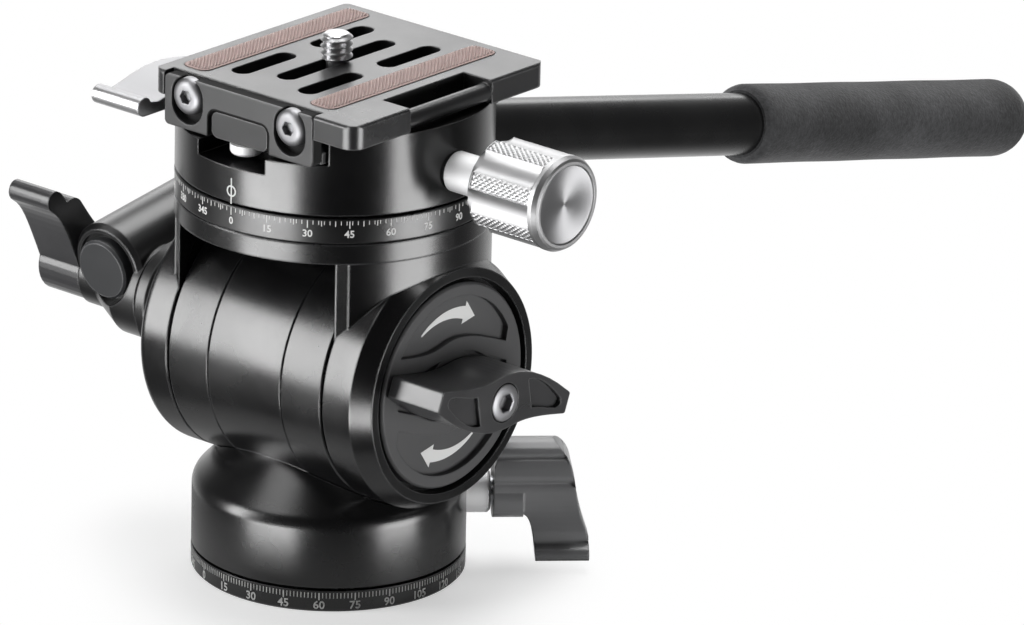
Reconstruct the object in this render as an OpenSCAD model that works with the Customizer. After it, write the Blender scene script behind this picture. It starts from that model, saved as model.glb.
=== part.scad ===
// Fluid video head: pan base, tilt drum, yoke, panning quick-release clamp and bent pan handle.
// X is the tilt axis, with the tilt lever on +X. +Y points back along the handle. Z is up.
// The origin is the centre of the base's underside.

/* [Base and pan] */
// Diameter of the base plate and of the pan housing above it
base_d = 54; // [52:0.5:56]
// Height of the base plate's rim, which carries the lower scale
base_ring_h = 4.4; // [4:0.2:5.6]
// Height of the straight wall of the pan housing
housing_wall_h = 11.8; // [11:0.2:12.4]
// Rounding between the wall and the sloping shoulder
shoulder_round = 4; // [2:0.5:5]
// Tripod thread bore
thread_d = 9.525; // [6.35, 9.525]
// Depth of the tripod thread
thread_depth = 10.5; // [8:0.5:11]
// Diameter of the post that the housing turns on
post_d = 18; // [16.5:0.5:19]
// Diameter of the brake disc on top of the post
brake_disc_d = 26; // [24:0.5:27]
// Thickness of the brake disc
brake_disc_t = 4.8; // [4:0.2:5]
// Visible gap between pieces that turn against each other
seam = 0.4; // [0.3:0.05:0.5]

/* [Pan lock] */
// Direction of the lock, from +X towards +Y
lock_angle = 45; // [40:1:60]
// Diameter of the lock screw
lock_screw_d = 6; // [5:0.5:6.5]
// Diameter of the bright collar
collar_d = 8.6; // [8:0.2:9.4]
// Length of the bright collar
collar_l = 5; // [4:0.5:6]
// Width of the wing lever's hub along the screw
lock_hub_w = 6; // [5:0.5:8]
// Length of the wing below the screw
lock_wing_l = 12.8; // [11.5:0.1:13.4]

/* [Tilt drum] */
// Height of the tilt axis above the base's underside
tilt_z = 45; // [44.5:0.25:47]
// Diameter of the drum and of the yoke's cheeks
drum_d = 51; // [50:0.25:51.5]
// Width of the fixed middle of the drum
drum_mid_w = 19; // [18:0.5:20]
// Width of each drag ring beside the middle
drag_ring_w = 10.3; // [9.8:0.1:10.8]
// Wall of the drag rings
drag_ring_wall = 3.5; // [2.5:0.25:4.5]
// Diameter of the tilt shaft
shaft_d = 12; // [11:0.5:13]
// Wall of the shaft bushes
bush_wall = 2; // [1.5:0.25:2.5]

/* [Yoke] */
// Thickness of the left cheek
left_cheek_w = 8; // [7.5:0.5:9]
// Diameter of the deck, the upper scale and the clamp body
deck_d = 62; // [61:0.5:63]
// Thickness of the deck
deck_t = 4.1; // [3.8:0.1:5]
// Height of the dark gap between the drum and the deck
deck_gap = 2.6; // [2:0.1:3.4]
// Height of the upper scale ring
scale_ring_h = 5.1; // [4.5:0.1:6]
// Width of the chamfers down the arms' edges
arm_chamfer = 1.6; // [0.8:0.2:2]
// How far the right cheek's face stands out past the deck's edge
cheek_proud = 0.3; // [0.2:0.1:1]
// Diameter of the round cover in the right cheek
cover_d = 41.2; // [39:0.2:42]
// Width of the dark groove round the cover
cover_groove = 1; // [0.6:0.1:1.4]
// Depth of the sunk pockets in the cover
pocket_depth = 1.3; // [0.8:0.1:1.6]

/* [Levers] */
// How far the tilt lever stands out along its axis
tilt_lever_w = 12.8; // [10:0.2:14]
// Reach of each wing of the tilt lever
tilt_lever_reach = 19.5; // [18:0.5:21]
// Diameter of the tilt lever's screw head
lever_screw_d = 7.5; // [6:0.25:8]
// Width of the handle's wing lever
handle_lever_w = 10.8; // [9:0.2:12]
// Height of the handle's wing lever above its bolt
handle_lever_reach = 20; // [18:0.5:22]

/* [Panning clamp] */
// Height of the clamp body
clamp_body_h = 10.3; // [10:0.1:11.5]
// Diameter of the spindle that the clamp turns on
spindle_d = 18; // [17:0.5:19]
// Diameter of the cap that keeps the clamp on its spindle
spindle_cap_d = 23; // [22:0.5:24]
// Diameter of the knurled knob
knob_d = 18.8; // [17:0.2:20]
// Length of the knurled knob
knob_l = 18; // [16:0.5:21]
// Diameter of the knob's stem
stem_d = 8; // [7:0.25:8.5]
// Visible length of the stem
stem_l = 10; // [8:0.5:12]
// Travel of the moving jaw
jaw_travel = 2.2; // [1.5:0.1:2.2]
// Length of the moving jaw
jaw_l = 42; // [36:1:44]
// Thickness of the quick-release lever
release_t = 4.4; // [3.6:0.2:4.6]
// Reach of the quick-release lever from its pin to its tip
release_reach = 31; // [28:0.5:34]

/* [Quick-release plate] */
// Length of the plate along the handle's direction
plate_l = 56; // [54:0.5:60]
// Plate edge on the lever side, from the middle
plate_left = 22.5; // [21.5:0.5:24]
// Plate edge on the strap side, from the middle
plate_right = 29.5; // [29:0.5:32]
// Thickness of the plate's top
slab_t = 4.8; // [4.4:0.1:5.6]
// Width of the dovetail foot
dovetail_w = 38; // [37.5:0.1:38.5]
// Height of the dovetail below the top
dovetail_h = 5.7; // [5.5:0.1:6.5]
// Corner rounding of the plate
plate_corner = 3; // [1.5:0.5:5]
// Width of the two grip pads
pad_w = 6.6; // [5:0.2:8]
// Inner edge of the pads, from the middle
pad_x = 13; // [12.5:0.25:14]
// Width of the slots
slot_w = 4.4; // [4:0.1:4.8]
// Distance between the rows of slots
slot_pitch = 8.6; // [8:0.1:9]
// Length of the strap opening
strap_l = 23.6; // [20:0.2:26]
// Diameter of the strap bar
strap_bar_d = 3.6; // [3:0.1:4]
// Camera screw thread
camera_thread_d = 6.35; // [6.35, 9.525]
// Height of the camera thread above the plate
camera_thread_h = 5.6; // [4.5:0.1:7]

/* [Fence] */
// Width of the anti-twist fence
fence_w = 38; // [36:0.2:40]
// Thickness of the fence
fence_t = 2.6; // [2.4:0.1:3]
// Upward travel of the fence
fence_travel = 1.5; // [1:0.1:1.6]
// Distance of the fence screws from the middle
fence_screw_x = 13.2; // [12.8:0.2:14]
// Diameter of the fence screws' heads
fence_head_d = 7.5; // [6.5:0.1:7.6]

/* [Handle] */
// Distance of the handle's plane from the middle
handle_x = 52.5; // [51:0.5:56]
// Diameter of the boss on the left cheek
boss_d = 23; // [20:0.5:24]
// Diameter of the handle's clamp block, along the tilt axis
block_d = 20; // [19:0.5:22]
// Diameter of the barrel that takes the tube
barrel_d = 18; // [17.4:0.2:19]
// Height of the barrel's middle above the tilt axis
barrel_rise = 6.4; // [5.4:0.2:7]
// Upward slope of the first stretch of tube
rise_angle = 8.6; // [6:0.2:10]
// Downward slope of the long stretch of tube
fall_angle = 12.9; // [9:0.1:13]
// Diameter of the tube
tube_d = 13.4; // [12:0.2:14]
// Wall of the tube
tube_wall = 1.5; // [1:0.1:2.5]
// Length of the first stretch, from the tilt axis to the bend
rise_l = 62.7; // [58:0.1:70]
// Radius of the bend's middle line
bend_r = 45; // [35:1:70]
// Length of the long stretch, from the bend to the tip of the grip
fall_l = 232; // [220:1:232]
// Length of the foam grip
grip_l = 101; // [90:1:115]
// Diameter of the foam grip
grip_d = 17.2; // [16.4:0.2:17.4]

/* [Hidden] */
$fn = 96;
// Radial play of shafts in their bores
running = 0.05;
// Play between pieces that are fixed to each other
fixed_play = 0.02;
// Play between pieces that slide or pass each other
sliding = 0.3;
// Room between pieces that sweep past each other
sweep_gap = 0.5;
// Small chamfer that breaks an edge
edge = 0.5;
// Overrun of cutting shapes
over = 1;

base_r = base_d / 2;
drum_r = drum_d / 2;
deck_r = deck_d / 2;
shaft_r = shaft_d / 2;
post_r = post_d / 2;

// Heights, from the base up
housing_z = base_ring_h + seam;
wall_top = housing_z + housing_wall_h;
washer_t = 1.5;
disc_top = wall_top + edge;
disc_z = disc_top - brake_disc_t;
lock_z = disc_z + brake_disc_t / 2;
deck_z = tilt_z + drum_r + deck_gap;
scale_z = deck_z + deck_t;
scale_top = scale_z + scale_ring_h;
clamp_z = scale_top + seam;
clamp_top = clamp_z + clamp_body_h;
foot_z = clamp_top + seam;
slab_z = foot_z + dovetail_h;
plate_top = slab_z + slab_t;
jaw_top = slab_z - seam;

// Places along the tilt axis
ring_x = drum_mid_w / 2;
ring_out_x = ring_x + drag_ring_w;
cheek_x = ring_out_x + seam;
left_face = cheek_x + left_cheek_w;
right_face = deck_r + cheek_proud;
cover_t = 3;
lever_x = right_face + sweep_gap;
lever_face = lever_x + tilt_lever_w;
bush_l = 6;
rotor_t = 6;
rotor_x = ring_x + 3;
rotor_r = drum_r - drag_ring_wall - sweep_gap;

// Pan lock, along its own axis
collar_seat = base_r - edge;
collar_end = collar_seat + collar_l;
lock_hub_x = collar_end + sweep_gap;
lock_out = lock_hub_x + lock_hub_w;
shoe_l = 4;
shoe_x = brake_disc_d / 2 + sliding;
lock_bore_r = lock_screw_d / 2 + running;

// Panning clamp
spindle_r = spindle_d / 2;
cap_r = spindle_cap_d / 2;
cap_t = 1.6;
cap_z = clamp_top - cap_t - 2 * sliding;
knob_z = clamp_top - stem_d / 2 - sliding / 2;
knob_x = deck_r + stem_l;
pad_r = cap_z - knob_z - sliding;
brake_pad_l = 4.6;
brake_pad_x = spindle_r + sliding;
stem_screw_r = 3;
foot_half = dovetail_w / 2;
neck_half = foot_half - 2.5;
flank_z = foot_z + 2.1;
jaw_end_y = 24.6;
plate_travel = 3.5;
lip_y = jaw_end_y - plate_travel;
jaw_out = foot_half + 3.6;
tongue_w = 4.8;
tongue_y = 6.5;
tongue_in = foot_half - 1.5;
tongue_out = tongue_in + tongue_w;
tongue_h = 5.2;
tongue_z = clamp_top - tongue_h;
tongue_t = 5;
guide_r = 1.5;
pivot_x = jaw_out + 4.4;
pivot_r = 2.4;
cam_r = 5.65;
cam_low = cam_r - jaw_travel;
cam_seat = pivot_x - cam_r - 0.35;
cam_notch = 8;
release_z = clamp_top + sliding + 0.7;
release_in = jaw_out + 0.7;
release_out = release_in + 12.2;
stop_r = 3.2;
stop_h = 2.2;
stop_y = plate_l / 2 - 2.5;
stop_channel = 8.6;
stop_wall = stop_y - stop_r - plate_travel - sliding;
channel_h = 3;

// Plate and fence
front_y = -plate_l / 2;
fence_back = front_y + fence_t;
foot_front = fence_back + 0.2;
foot_back = plate_l / 2 - 2;
fence_top = plate_top - 0.3;
fence_low = foot_z;
fence_screw_z = slab_z + 0.9;
head_r = fence_head_d / 2;
head_seat = 0.8;
shank_r = 2;
tongue_half = 7.2;
notch_half = 7.8;
notch_top = slab_z - 0.1;
pad_t = 0.9;
pad_sink = 0.6;
pad_front = foot_front + 2;
pad_back = -front_y - 2.6;
pad_corner = 2;
slot_l = 16.4;
slot_y = 11.3;
long_slot = 32;
strap_in = plate_right - strap_bar_d - 3.6;
screw_pocket = 7.2;
screw_head_r = 6;
screw_head_z = foot_z + 0.5;
screw_washer_t = 0.8;
neck_r = slot_w / 2 - 0.15;

// Handle, in the plane of its tube
barrel_r = barrel_d / 2;
tube_r = tube_d / 2;
block_in = handle_x - barrel_r - 0.1;
block_out = handle_x + barrel_r + 0.1;
friction_t = 1;
boss_face = block_in - friction_t - 2 * running;
handle_lever_x = block_out + sweep_gap;
handle_lever_out = handle_lever_x + handle_lever_w;
bolt_r = 3;
barrel_front = -8;
barrel_back = 20;
plug_r = 6.2;
plug_t = 1.8;
tube_start = 7;
bend_angle = rise_angle + fall_angle;
bend_cut = bend_r * tan(bend_angle / 2);
grip_r = grip_d / 2;
grip_cap = 22;

black = [0.07, 0.07, 0.075];
dark = [0.14, 0.14, 0.15];
silver = [0.8, 0.8, 0.81];
steel = [0.6, 0.61, 0.63];
bronze = [0.62, 0.47, 0.28];
white = [0.88, 0.88, 0.85];
brown = [0.36, 0.22, 0.17];
charcoal = [0.17, 0.17, 0.18];

// Points on an arc about c, from angle a to angle b
function arc(c, r, a, b, n = 8) = [for (i = [0 : n]) c + r * [cos(a + (b - a) * i / n), sin(a + (b - a) * i / n)]];

// Points on a cubic curve that leaves p and reaches s, guided by q and r
function curve(p, q, r, s, n = 9) = [
    for (i = [0 : n - 1])
    let (t = i / n, u = 1 - t)
    u * u * u * p + 3 * u * u * t * q + 3 * u * t * t * r + t * t * t * s
];

function flip(points) = [for (p = points) -p];

function times(k, points) = [for (p = points) k * p];

// Round bars along each axis
module bar_x(r, from, to) {
    translate([from, 0, 0]) rotate([0, 90, 0]) cylinder(r = r, h = to - from);
}

module bar_y(r, from, to) {
    translate([0, from, 0]) rotate([-90, 0, 0]) cylinder(r = r, h = to - from);
}

module bar_z(r, from, to) {
    translate([0, 0, from]) cylinder(r = r, h = to - from);
}

// Turned shape about X, from points of radius and place along X
module turned_x(points) {
    rotate([0, 90, 0]) rotate_extrude() polygon(points);
}

// Outline in Y and Z, pushed along X
module slab_x(from, to) {
    translate([from, 0, 0]) rotate([90, 0, 90]) linear_extrude(to - from) children();
}

// Outline in X and Z, pushed along Y
module slab_y(from, to) {
    translate([0, to, 0]) rotate([90, 0, 0]) linear_extrude(to - from) children();
}

module ring_z(outer, inner, from, to) {
    difference() {
        bar_z(outer, from, to);
        bar_z(inner, from - over, to + over);
    }
}

// Rectangle with round corners
module round_rect(low, high, r) {
    translate([low.x + r, low.y]) square([high.x - low.x - 2 * r, high.y - low.y]);
    translate([low.x, low.y + r]) square([high.x - low.x, high.y - low.y - 2 * r]);
    for (x = [low.x + r, high.x - r], y = [low.y + r, high.y - r]) translate([x, y]) circle(r);
}

// Slot with round ends, along Y
module round_slot(l, w) {
    square([w, l - w], center = true);
    for (side = [-1, 1]) translate([0, side * (l - w) / 2]) circle(w / 2);
}

module on_tilt_axis() {
    translate([0, 0, tilt_z]) children();
}

module on_lock_axis() {
    translate([0, 0, lock_z]) rotate([0, 0, lock_angle]) children();
}

module on_knob_axis() {
    translate([0, 0, knob_z]) children();
}

// Base
insert_r = 6.6;

module base_plate() {
    color(black)
    difference() {
        rotate_extrude()
        polygon([
            [0, 0], [base_r - edge, 0], [base_r, edge], [base_r, base_ring_h], [post_r, base_ring_h],
            [post_r, disc_z], [0, disc_z]
        ]);
        bar_z(insert_r + fixed_play, -over, thread_depth);
        for (a = [0 : 120 : 240]) rotate([0, 0, a]) translate([base_r - 6, 0, -over])
        cylinder(r = 1.6, h = over + 2.4);
    }
}

module thread_insert() {
    color(steel)
    difference() {
        bar_z(insert_r, 0, thread_depth - fixed_play);
        bar_z(thread_d / 2, -over, thread_depth + over);
    }
}

washer_in = post_r + 1.5;
washer_out = base_r - 5;

module pan_thrust_washer() {
    color(white) ring_z(washer_out, washer_in, base_ring_h, base_ring_h + washer_t);
}

module pan_brake_disc() {
    color(steel)
    rotate_extrude()
    polygon([
        [0, disc_z], [brake_disc_d / 2 - edge, disc_z], [brake_disc_d / 2, disc_z + edge],
        [brake_disc_d / 2, disc_top - edge], [brake_disc_d / 2 - edge, disc_top], [0, disc_top]
    ]);
}

// Pan housing
neck_top = tilt_z - drum_r / 2;
shoulder_c = [base_r - shoulder_round, wall_top];

module housing_shape() {
    cone_start = shoulder_c + shoulder_round * [cos(45), sin(45)];
    rotate_extrude()
    polygon(concat(
        [[0, housing_z], [base_r - edge / 2, housing_z], [base_r, housing_z + edge / 2]],
        arc(shoulder_c, shoulder_round, 0, 45),
        [[cone_start.x - (neck_top - cone_start.y), neck_top], [0, neck_top]]
    ));
}

module drum_middle() {
    on_tilt_axis()
    turned_x([
        [0, -ring_x], [drum_r - edge / 2, -ring_x], [drum_r, -ring_x + edge / 2],
        [drum_r, ring_x - edge / 2], [drum_r - edge / 2, ring_x], [0, ring_x]
    ]);
}

module pan_housing() {
    color(black)
    difference() {
        union() {
            housing_shape();
            drum_middle();
        }
        for (side = [-1, 1])
        mirror([side < 0 ? 1 : 0, 0, 0]) {
            on_tilt_axis() bar_x(drum_r + 3 * running, ring_x, ring_out_x + sliding / 2);
            on_tilt_axis() bar_x(drum_r + sweep_gap, ring_out_x, deck_r + over);
        }
        bar_z(post_r + running, 0, disc_z);
        bar_z(washer_out + sliding, 0, base_ring_h + washer_t + running);
        bar_z(brake_disc_d / 2 + sweep_gap, disc_z - 2 * running, disc_top + sliding);
        on_tilt_axis() bar_x(shaft_r + bush_wall + fixed_play, -ring_x - over, ring_x + over);
        on_lock_axis() bar_x(lock_bore_r, 0, base_r);
        on_lock_axis() bar_x(collar_d / 2 + sliding, collar_seat, base_r + over);
    }
}

module drag_ring(side) {
    web = 2;
    mirror([side < 0 ? 1 : 0, 0, 0])
    on_tilt_axis()
    difference() {
        turned_x([
            [0, ring_x], [drum_r - edge / 2, ring_x], [drum_r, ring_x + edge / 2],
            [drum_r, ring_out_x - edge / 2], [drum_r - edge / 2, ring_out_x], [0, ring_out_x]
        ]);
        bar_x(drum_r - drag_ring_wall, ring_x + web, ring_out_x + over);
        bar_x(shaft_r + bush_wall, ring_x - over, ring_out_x);
    }
}

module drag_ring_left() {
    color(black) drag_ring(-1);
}

module drag_ring_right() {
    color(black) drag_ring(1);
}

module shaft_bush(side) {
    mirror([side < 0 ? 1 : 0, 0, 0])
    on_tilt_axis()
    difference() {
        bar_x(shaft_r + bush_wall, ring_x - bush_l, ring_x);
        bar_x(shaft_r + running, 0, ring_x + over);
    }
}

module shaft_bush_left() {
    color(bronze) shaft_bush(-1);
}

module shaft_bush_right() {
    color(bronze) shaft_bush(1);
}

// Pan lock
module pan_lock_collar() {
    color(silver)
    on_lock_axis()
    difference() {
        turned_x([
            [0, collar_seat], [collar_d / 2, collar_seat], [collar_d / 2, collar_end - edge],
            [collar_d / 2 - edge, collar_end], [0, collar_end]
        ]);
        bar_x(lock_bore_r, 0, collar_end + over);
    }
}

module pan_brake_shoe() {
    color(bronze) on_lock_axis() bar_x(lock_screw_d / 2, shoe_x, shoe_x + shoe_l);
}

module pan_lock_screw() {
    color(steel)
    on_lock_axis()
    bar_x(lock_screw_d / 2, shoe_x + shoe_l + running, lock_out - over);
}

// Wing that hangs from the hub, drawn for a length of one below the screw: an S outline with a
// rolled lip, seen along the screw, and a slanting outline seen from the side
lock_hub_r = collar_d / 2 + 1;

module lock_wing_outline() {
    polygon(times(lock_wing_l, concat(
        curve([-0.08, 0.9], [0.19, 0.88], [0.36, 0.67], [0.39, 0.36]),
        curve([0.39, 0.36], [0.44, 0.05], [0.34, -0.27], [0.11, -0.5]),
        curve([0.11, -0.5], [-0.09, -0.67], [-0.19, -0.78], [-0.27, -0.91]),
        curve([-0.27, -0.91], [-0.34, -1.03], [-0.56, -1.03], [-0.56, -0.86], 7),
        curve([-0.56, -0.86], [-0.56, -0.76], [-0.44, -0.76], [-0.41, -0.66], 6),
        curve([-0.41, -0.66], [-0.34, -0.43], [-0.28, -0.12], [-0.41, 0.12]),
        curve([-0.41, 0.12], [-0.53, 0.36], [-0.5, 0.83], [-0.08, 0.9])
    )));
}

module lock_wing_side() {
    translate([lock_hub_x, 0])
    polygon(times(lock_wing_l, concat(
        [[0, -0.3], [0, 0.55], [0.16, 0.95], [0.84, 0.95]],
        curve([0.84, 0.95], [1.02, 0.84], [1.19, 0.62], [1.22, 0.39]),
        curve([1.22, 0.39], [1.27, 0.08], [1.34, -0.31], [1.47, -0.62]),
        [[1.47, -0.62], [1.48, -1.05]],
        curve([0.66, -1.05], [0.62, -0.5], [0.56, -0.16], [0.36, -0.3])
    )));
}

module pan_lock_lever() {
    color(black)
    on_lock_axis()
    difference() {
        union() {
            bar_x(lock_hub_r, lock_hub_x, lock_out);
            intersection() {
                slab_x(lock_hub_x, lock_hub_x + 2 * lock_wing_l) lock_wing_outline();
                slab_y(-lock_wing_l, lock_wing_l) lock_wing_side();
            }
        }
        bar_x(lock_screw_d / 2 + fixed_play, 0, lock_out - over + fixed_play);
    }
}

// Yoke
deck_bore_r = 5;
spindle_nut_r = 8.6;
spindle_nut_t = 1.6;
arm_r = deck_r - edge / 2;

module arm_outline() {
    difference() {
        intersection() {
            circle(arm_r);
            translate([cheek_x, -deck_r]) square([deck_r, deck_d]);
        }
        for (side = [-1, 1])
        translate([cheek_x, side * sqrt(arm_r * arm_r - cheek_x * cheek_x)])
        rotate([0, 0, side * -35])
        square([4 * arm_chamfer, arm_chamfer], center = true);
    }
}

module arm() {
    translate([0, 0, tilt_z]) linear_extrude(deck_z - tilt_z + deck_t / 2) arm_outline();
}

// The left arm stands proud of its cheek and runs out above the handle's boss
module arms() {
    arm();
    difference() {
        mirror([1, 0, 0]) arm();
        slab_y(-deck_r, deck_r)
        polygon([
            [1 - left_face, tilt_z - over], [1 - left_face, tilt_z + boss_d / 2],
            [-deck_d, tilt_z + boss_d / 2 + deck_d - left_face], [-deck_d, tilt_z - over]
        ]);
    }
}

module cheeks() {
    round_r = 2;
    lip = 4;
    on_tilt_axis() {
        turned_x(concat(
            [[0, -cheek_x], [drum_r - edge / 2, -cheek_x], [drum_r, -cheek_x - edge / 2]],
            arc([drum_r - round_r, -left_face + round_r], round_r, 0, -90),
            [[0, -left_face]]
        ));
        turned_x([
            [0, cheek_x], [drum_r - edge / 2, cheek_x], [drum_r, cheek_x + edge / 2],
            [drum_r, right_face - lip], [drum_r - lip / 2, right_face], [0, right_face]
        ]);
    }
}

module yoke() {
    color(black)
    difference() {
        union() {
            rotate_extrude()
            polygon([
                [0, deck_z], [deck_r, deck_z],
                [deck_r, scale_z - edge / 2], [deck_r - edge / 2, scale_z], [0, scale_z]
            ]);
            arms();
            cheeks();
        }
        on_tilt_axis() bar_x(shaft_r + fixed_play, -left_face - over, right_face + over);
        on_tilt_axis() bar_x(cover_d / 2 + cover_groove, right_face - cover_t, right_face + over);
        bar_z(deck_bore_r + fixed_play, deck_z - over, scale_z + over);
        bar_z(spindle_nut_r + sliding, deck_z - over, deck_z + spindle_nut_t);
    }
}

module scale_ring() {
    color(black)
    difference() {
        rotate_extrude()
        polygon([
            [0, scale_z], [deck_r - edge / 2, scale_z], [deck_r, scale_z + edge / 2],
            [deck_r, scale_top - edge / 2], [deck_r - edge / 2, scale_top], [0, scale_top]
        ]);
        bar_z(spindle_r + fixed_play, scale_z - over, scale_top + over);
    }
}

// Shaft with a thinner end that takes the tilt lever
stud_r = 3;

module tilt_shaft() {
    color(steel)
    on_tilt_axis() {
        bar_x(shaft_r, -left_face + edge, right_face - cover_t - fixed_play);
        bar_x(stud_r, right_face - cover_t - over, lever_face - 4);
    }
}

module damper_rotor(side) {
    mirror([side < 0 ? 1 : 0, 0, 0])
    on_tilt_axis()
    difference() {
        bar_x(rotor_r, rotor_x, rotor_x + rotor_t);
        bar_x(shaft_r + fixed_play, rotor_x - over, rotor_x + rotor_t + over);
        for (a = [0 : 60 : 300]) rotate([a, 0, 0]) translate([0, 0, rotor_r - 6]) bar_x(3, 0, ring_out_x);
    }
}

module damper_rotor_left() {
    color(steel) damper_rotor(-1);
}

module damper_rotor_right() {
    color(steel) damper_rotor(1);
}

// Sunk pockets of the cover, drawn for a pocket radius of one: one above and one below, and a third
// round the hub, with two S-shaped ribs left standing between them
pocket_r = cover_d / 2 - 2.6;
cover_hub_r = 7;

module cover_pocket_outline() {
    intersection() {
        circle(pocket_r);
        polygon(times(pocket_r, concat(
            curve([-1, 0.55], [-0.72, 0.51], [-0.44, 0.42], [-0.17, 0.49], 8),
            curve([-0.17, 0.49], [0.17, 0.59], [0.44, 0.46], [1, 0.23], 12),
            [[1, 1], [-1, 1]]
        )));
    }
}

module cover_middle_outline() {
    half = concat(
        curve([-0.88, -0.06], [-0.92, 0.28], [-0.56, 0.26], [-0.17, 0.34], 8),
        curve([-0.17, 0.34], [0.17, 0.42], [0.44, 0.3], [0.6, 0.14], 8)
    );
    difference() {
        polygon(times(pocket_r, concat(half, flip(half))));
        circle(cover_hub_r);
    }
}

module tilt_cover() {
    color(black)
    on_tilt_axis()
    difference() {
        turned_x([
            [0, right_face - cover_t], [cover_d / 2, right_face - cover_t], [cover_d / 2, right_face - edge],
            [cover_d / 2 - edge, right_face], [0, right_face]
        ]);
        bar_x(stud_r + running, right_face - cover_t - over, right_face + over);
        for (turn = [0, 180])
        slab_x(right_face - pocket_depth, right_face + over)
        rotate(turn)
        cover_pocket_outline();
        slab_x(right_face - pocket_depth, right_face + over) cover_middle_outline();
    }
}

// Tilt lever, drawn for a reach of one: two wings with blunt ends, the same when half turned
module tilt_lever_outline() {
    half = concat(
        curve([-0.2, 0.26], [0.02, 0.28], [0.36, 0.37], [0.95, -0.12], 12),
        curve([0.95, -0.12], [0.99, -0.15], [1, -0.16], [0.995, -0.18], 4),
        curve([0.935, -0.325], [0.925, -0.36], [0.91, -0.36], [0.87, -0.35], 5),
        curve([0.87, -0.35], [0.64, -0.3], [0.41, -0.25], [0.2, -0.26], 10)
    );
    polygon(times(tilt_lever_reach, concat(half, flip(half))));
}

module tilt_lever_pocket() {
    polygon(times(tilt_lever_reach, concat(
        curve([0.36, 0.15], [0.5, 0.15], [0.68, 0.02], [0.84, -0.17], 8),
        curve([0.84, -0.17], [0.87, -0.23], [0.84, -0.27], [0.77, -0.26], 4),
        curve([0.77, -0.26], [0.6, -0.22], [0.5, -0.16], [0.36, -0.16], 8)
    )));
}

module tilt_lever() {
    face_pocket = 1;
    color(black)
    on_tilt_axis()
    difference() {
        slab_x(lever_x, lever_face) tilt_lever_outline();
        for (turn = [0, 180]) slab_x(lever_face - face_pocket, lever_face + over) rotate(turn)
        tilt_lever_pocket();
        bar_x(stud_r + fixed_play, lever_x - over, lever_face - 2);
        bar_x(lever_screw_d / 2 + 0.2, lever_face - 2, lever_face + over);
    }
}

module tilt_lever_screw() {
    color(silver)
    on_tilt_axis()
    difference() {
        turned_x([
            [0, lever_face - 2], [lever_screw_d / 2, lever_face - 2], [lever_screw_d / 2, lever_face + 0.2],
            [lever_screw_d / 2 - edge, lever_face + edge], [0, lever_face + edge]
        ]);
        bar_x(1.7, lever_face - 1, lever_face + over);
    }
}

// Handle
module handle_boss() {
    neck = boss_d / 2 - 1.2;
    color(black)
    on_tilt_axis()
    mirror([1, 0, 0])
    difference() {
        turned_x(concat(
            [[0, left_face], [boss_d / 2, left_face], [boss_d / 2, left_face + 2.4], [neck, left_face + 3.6]],
            [[neck, boss_face - 4], [boss_d / 2, boss_face - 2.8], [boss_d / 2, boss_face - edge]],
            [[boss_d / 2 - edge, boss_face], [0, boss_face]]
        ));
        bar_x(bolt_r + running, left_face + 4, boss_face + over);
    }
}

module friction_washer() {
    color(dark)
    on_tilt_axis()
    mirror([1, 0, 0])
    difference() {
        bar_x(block_d / 2 - 0.6, block_in - friction_t, block_in);
        bar_x(bolt_r + running, block_in - friction_t - over, block_in + over);
    }
}

module in_handle_plane() {
    translate([-handle_x, 0, tilt_z + barrel_rise]) children();
}

module on_rise() {
    in_handle_plane() rotate([rise_angle, 0, 0]) children();
}

module on_bend() {
    on_rise() translate([0, rise_l, 0]) rotate([-bend_angle, 0, 0]) children();
}

module handle_block() {
    groove = 1;
    hub_r = block_d / 3;
    color(black)
    difference() {
        union() {
            on_tilt_axis()
            mirror([1, 0, 0])
            turned_x([
                [0, block_in], [block_d / 2, block_in], [block_d / 2, handle_x - barrel_r / 4],
                [hub_r, handle_x + barrel_r / 2], [hub_r, block_out], [0, block_out]
            ]);
            on_rise()
            rotate([-90, 0, 0])
            rotate_extrude()
            polygon([
                [0, barrel_front], [barrel_r - 1, barrel_front], [barrel_r, barrel_front + 1],
                [barrel_r, barrel_back - 1.5], [barrel_r - 1, barrel_back], [0, barrel_back]
            ]);
        }
        on_rise() bar_y(plug_r + groove, -block_d, barrel_front + groove);
        on_rise() bar_y(tube_r + fixed_play, tube_start - fixed_play, barrel_back + over);
        on_tilt_axis() mirror([1, 0, 0]) bar_x(bolt_r + running, block_in - over, block_out + over);
    }
}

module handle_plug() {
    seat = barrel_front + 1;
    front = barrel_front - plug_t;
    color(black)
    on_rise()
    rotate([-90, 0, 0])
    rotate_extrude()
    polygon([[0, front], [plug_r - edge, front], [plug_r, front + edge], [plug_r, seat], [0, seat]]);
}

// Tube of radius r: a straight rise, a bend, and a straight fall of length l past the bend.
// The bent stretch is a trace wider, as a bent tube is, and laps over both straights.
module tube_run(r, from, l) {
    swell = 0.06;
    lap = 1;
    on_rise() bar_y(r, from, rise_l - bend_cut);
    on_rise()
    translate([0, rise_l - bend_cut, -bend_r])
    rotate([90, 0, 90])
    rotate([0, 0, 90 - bend_angle - lap])
    rotate_extrude(angle = bend_angle + 2 * lap)
    translate([bend_r, 0])
    circle(r + swell);
    on_bend() bar_y(r, bend_cut, l);
}

tube_end = fall_l - grip_cap;

module handle_tube() {
    color(black)
    difference() {
        tube_run(tube_r, tube_start, tube_end);
        tube_run(tube_r - tube_wall, tube_start - over, tube_end + over);
    }
}

module handle_grip() {
    from = fall_l - grip_l;
    mouth = 3;
    color(charcoal)
    on_bend()
    rotate([-90, 0, 0])
    difference() {
        rotate_extrude()
        polygon(concat(
            [[0, from], [grip_r - mouth / 2, from]],
            arc([grip_r - mouth, from + mouth], mouth, -60, 0, 5),
            arc([0, fall_l - grip_r], grip_r, 0, 90, 12)
        ));
        translate([0, 0, from - over])
        cylinder(r = tube_r + running, h = grip_l - grip_cap + over + running);
    }
}

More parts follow.
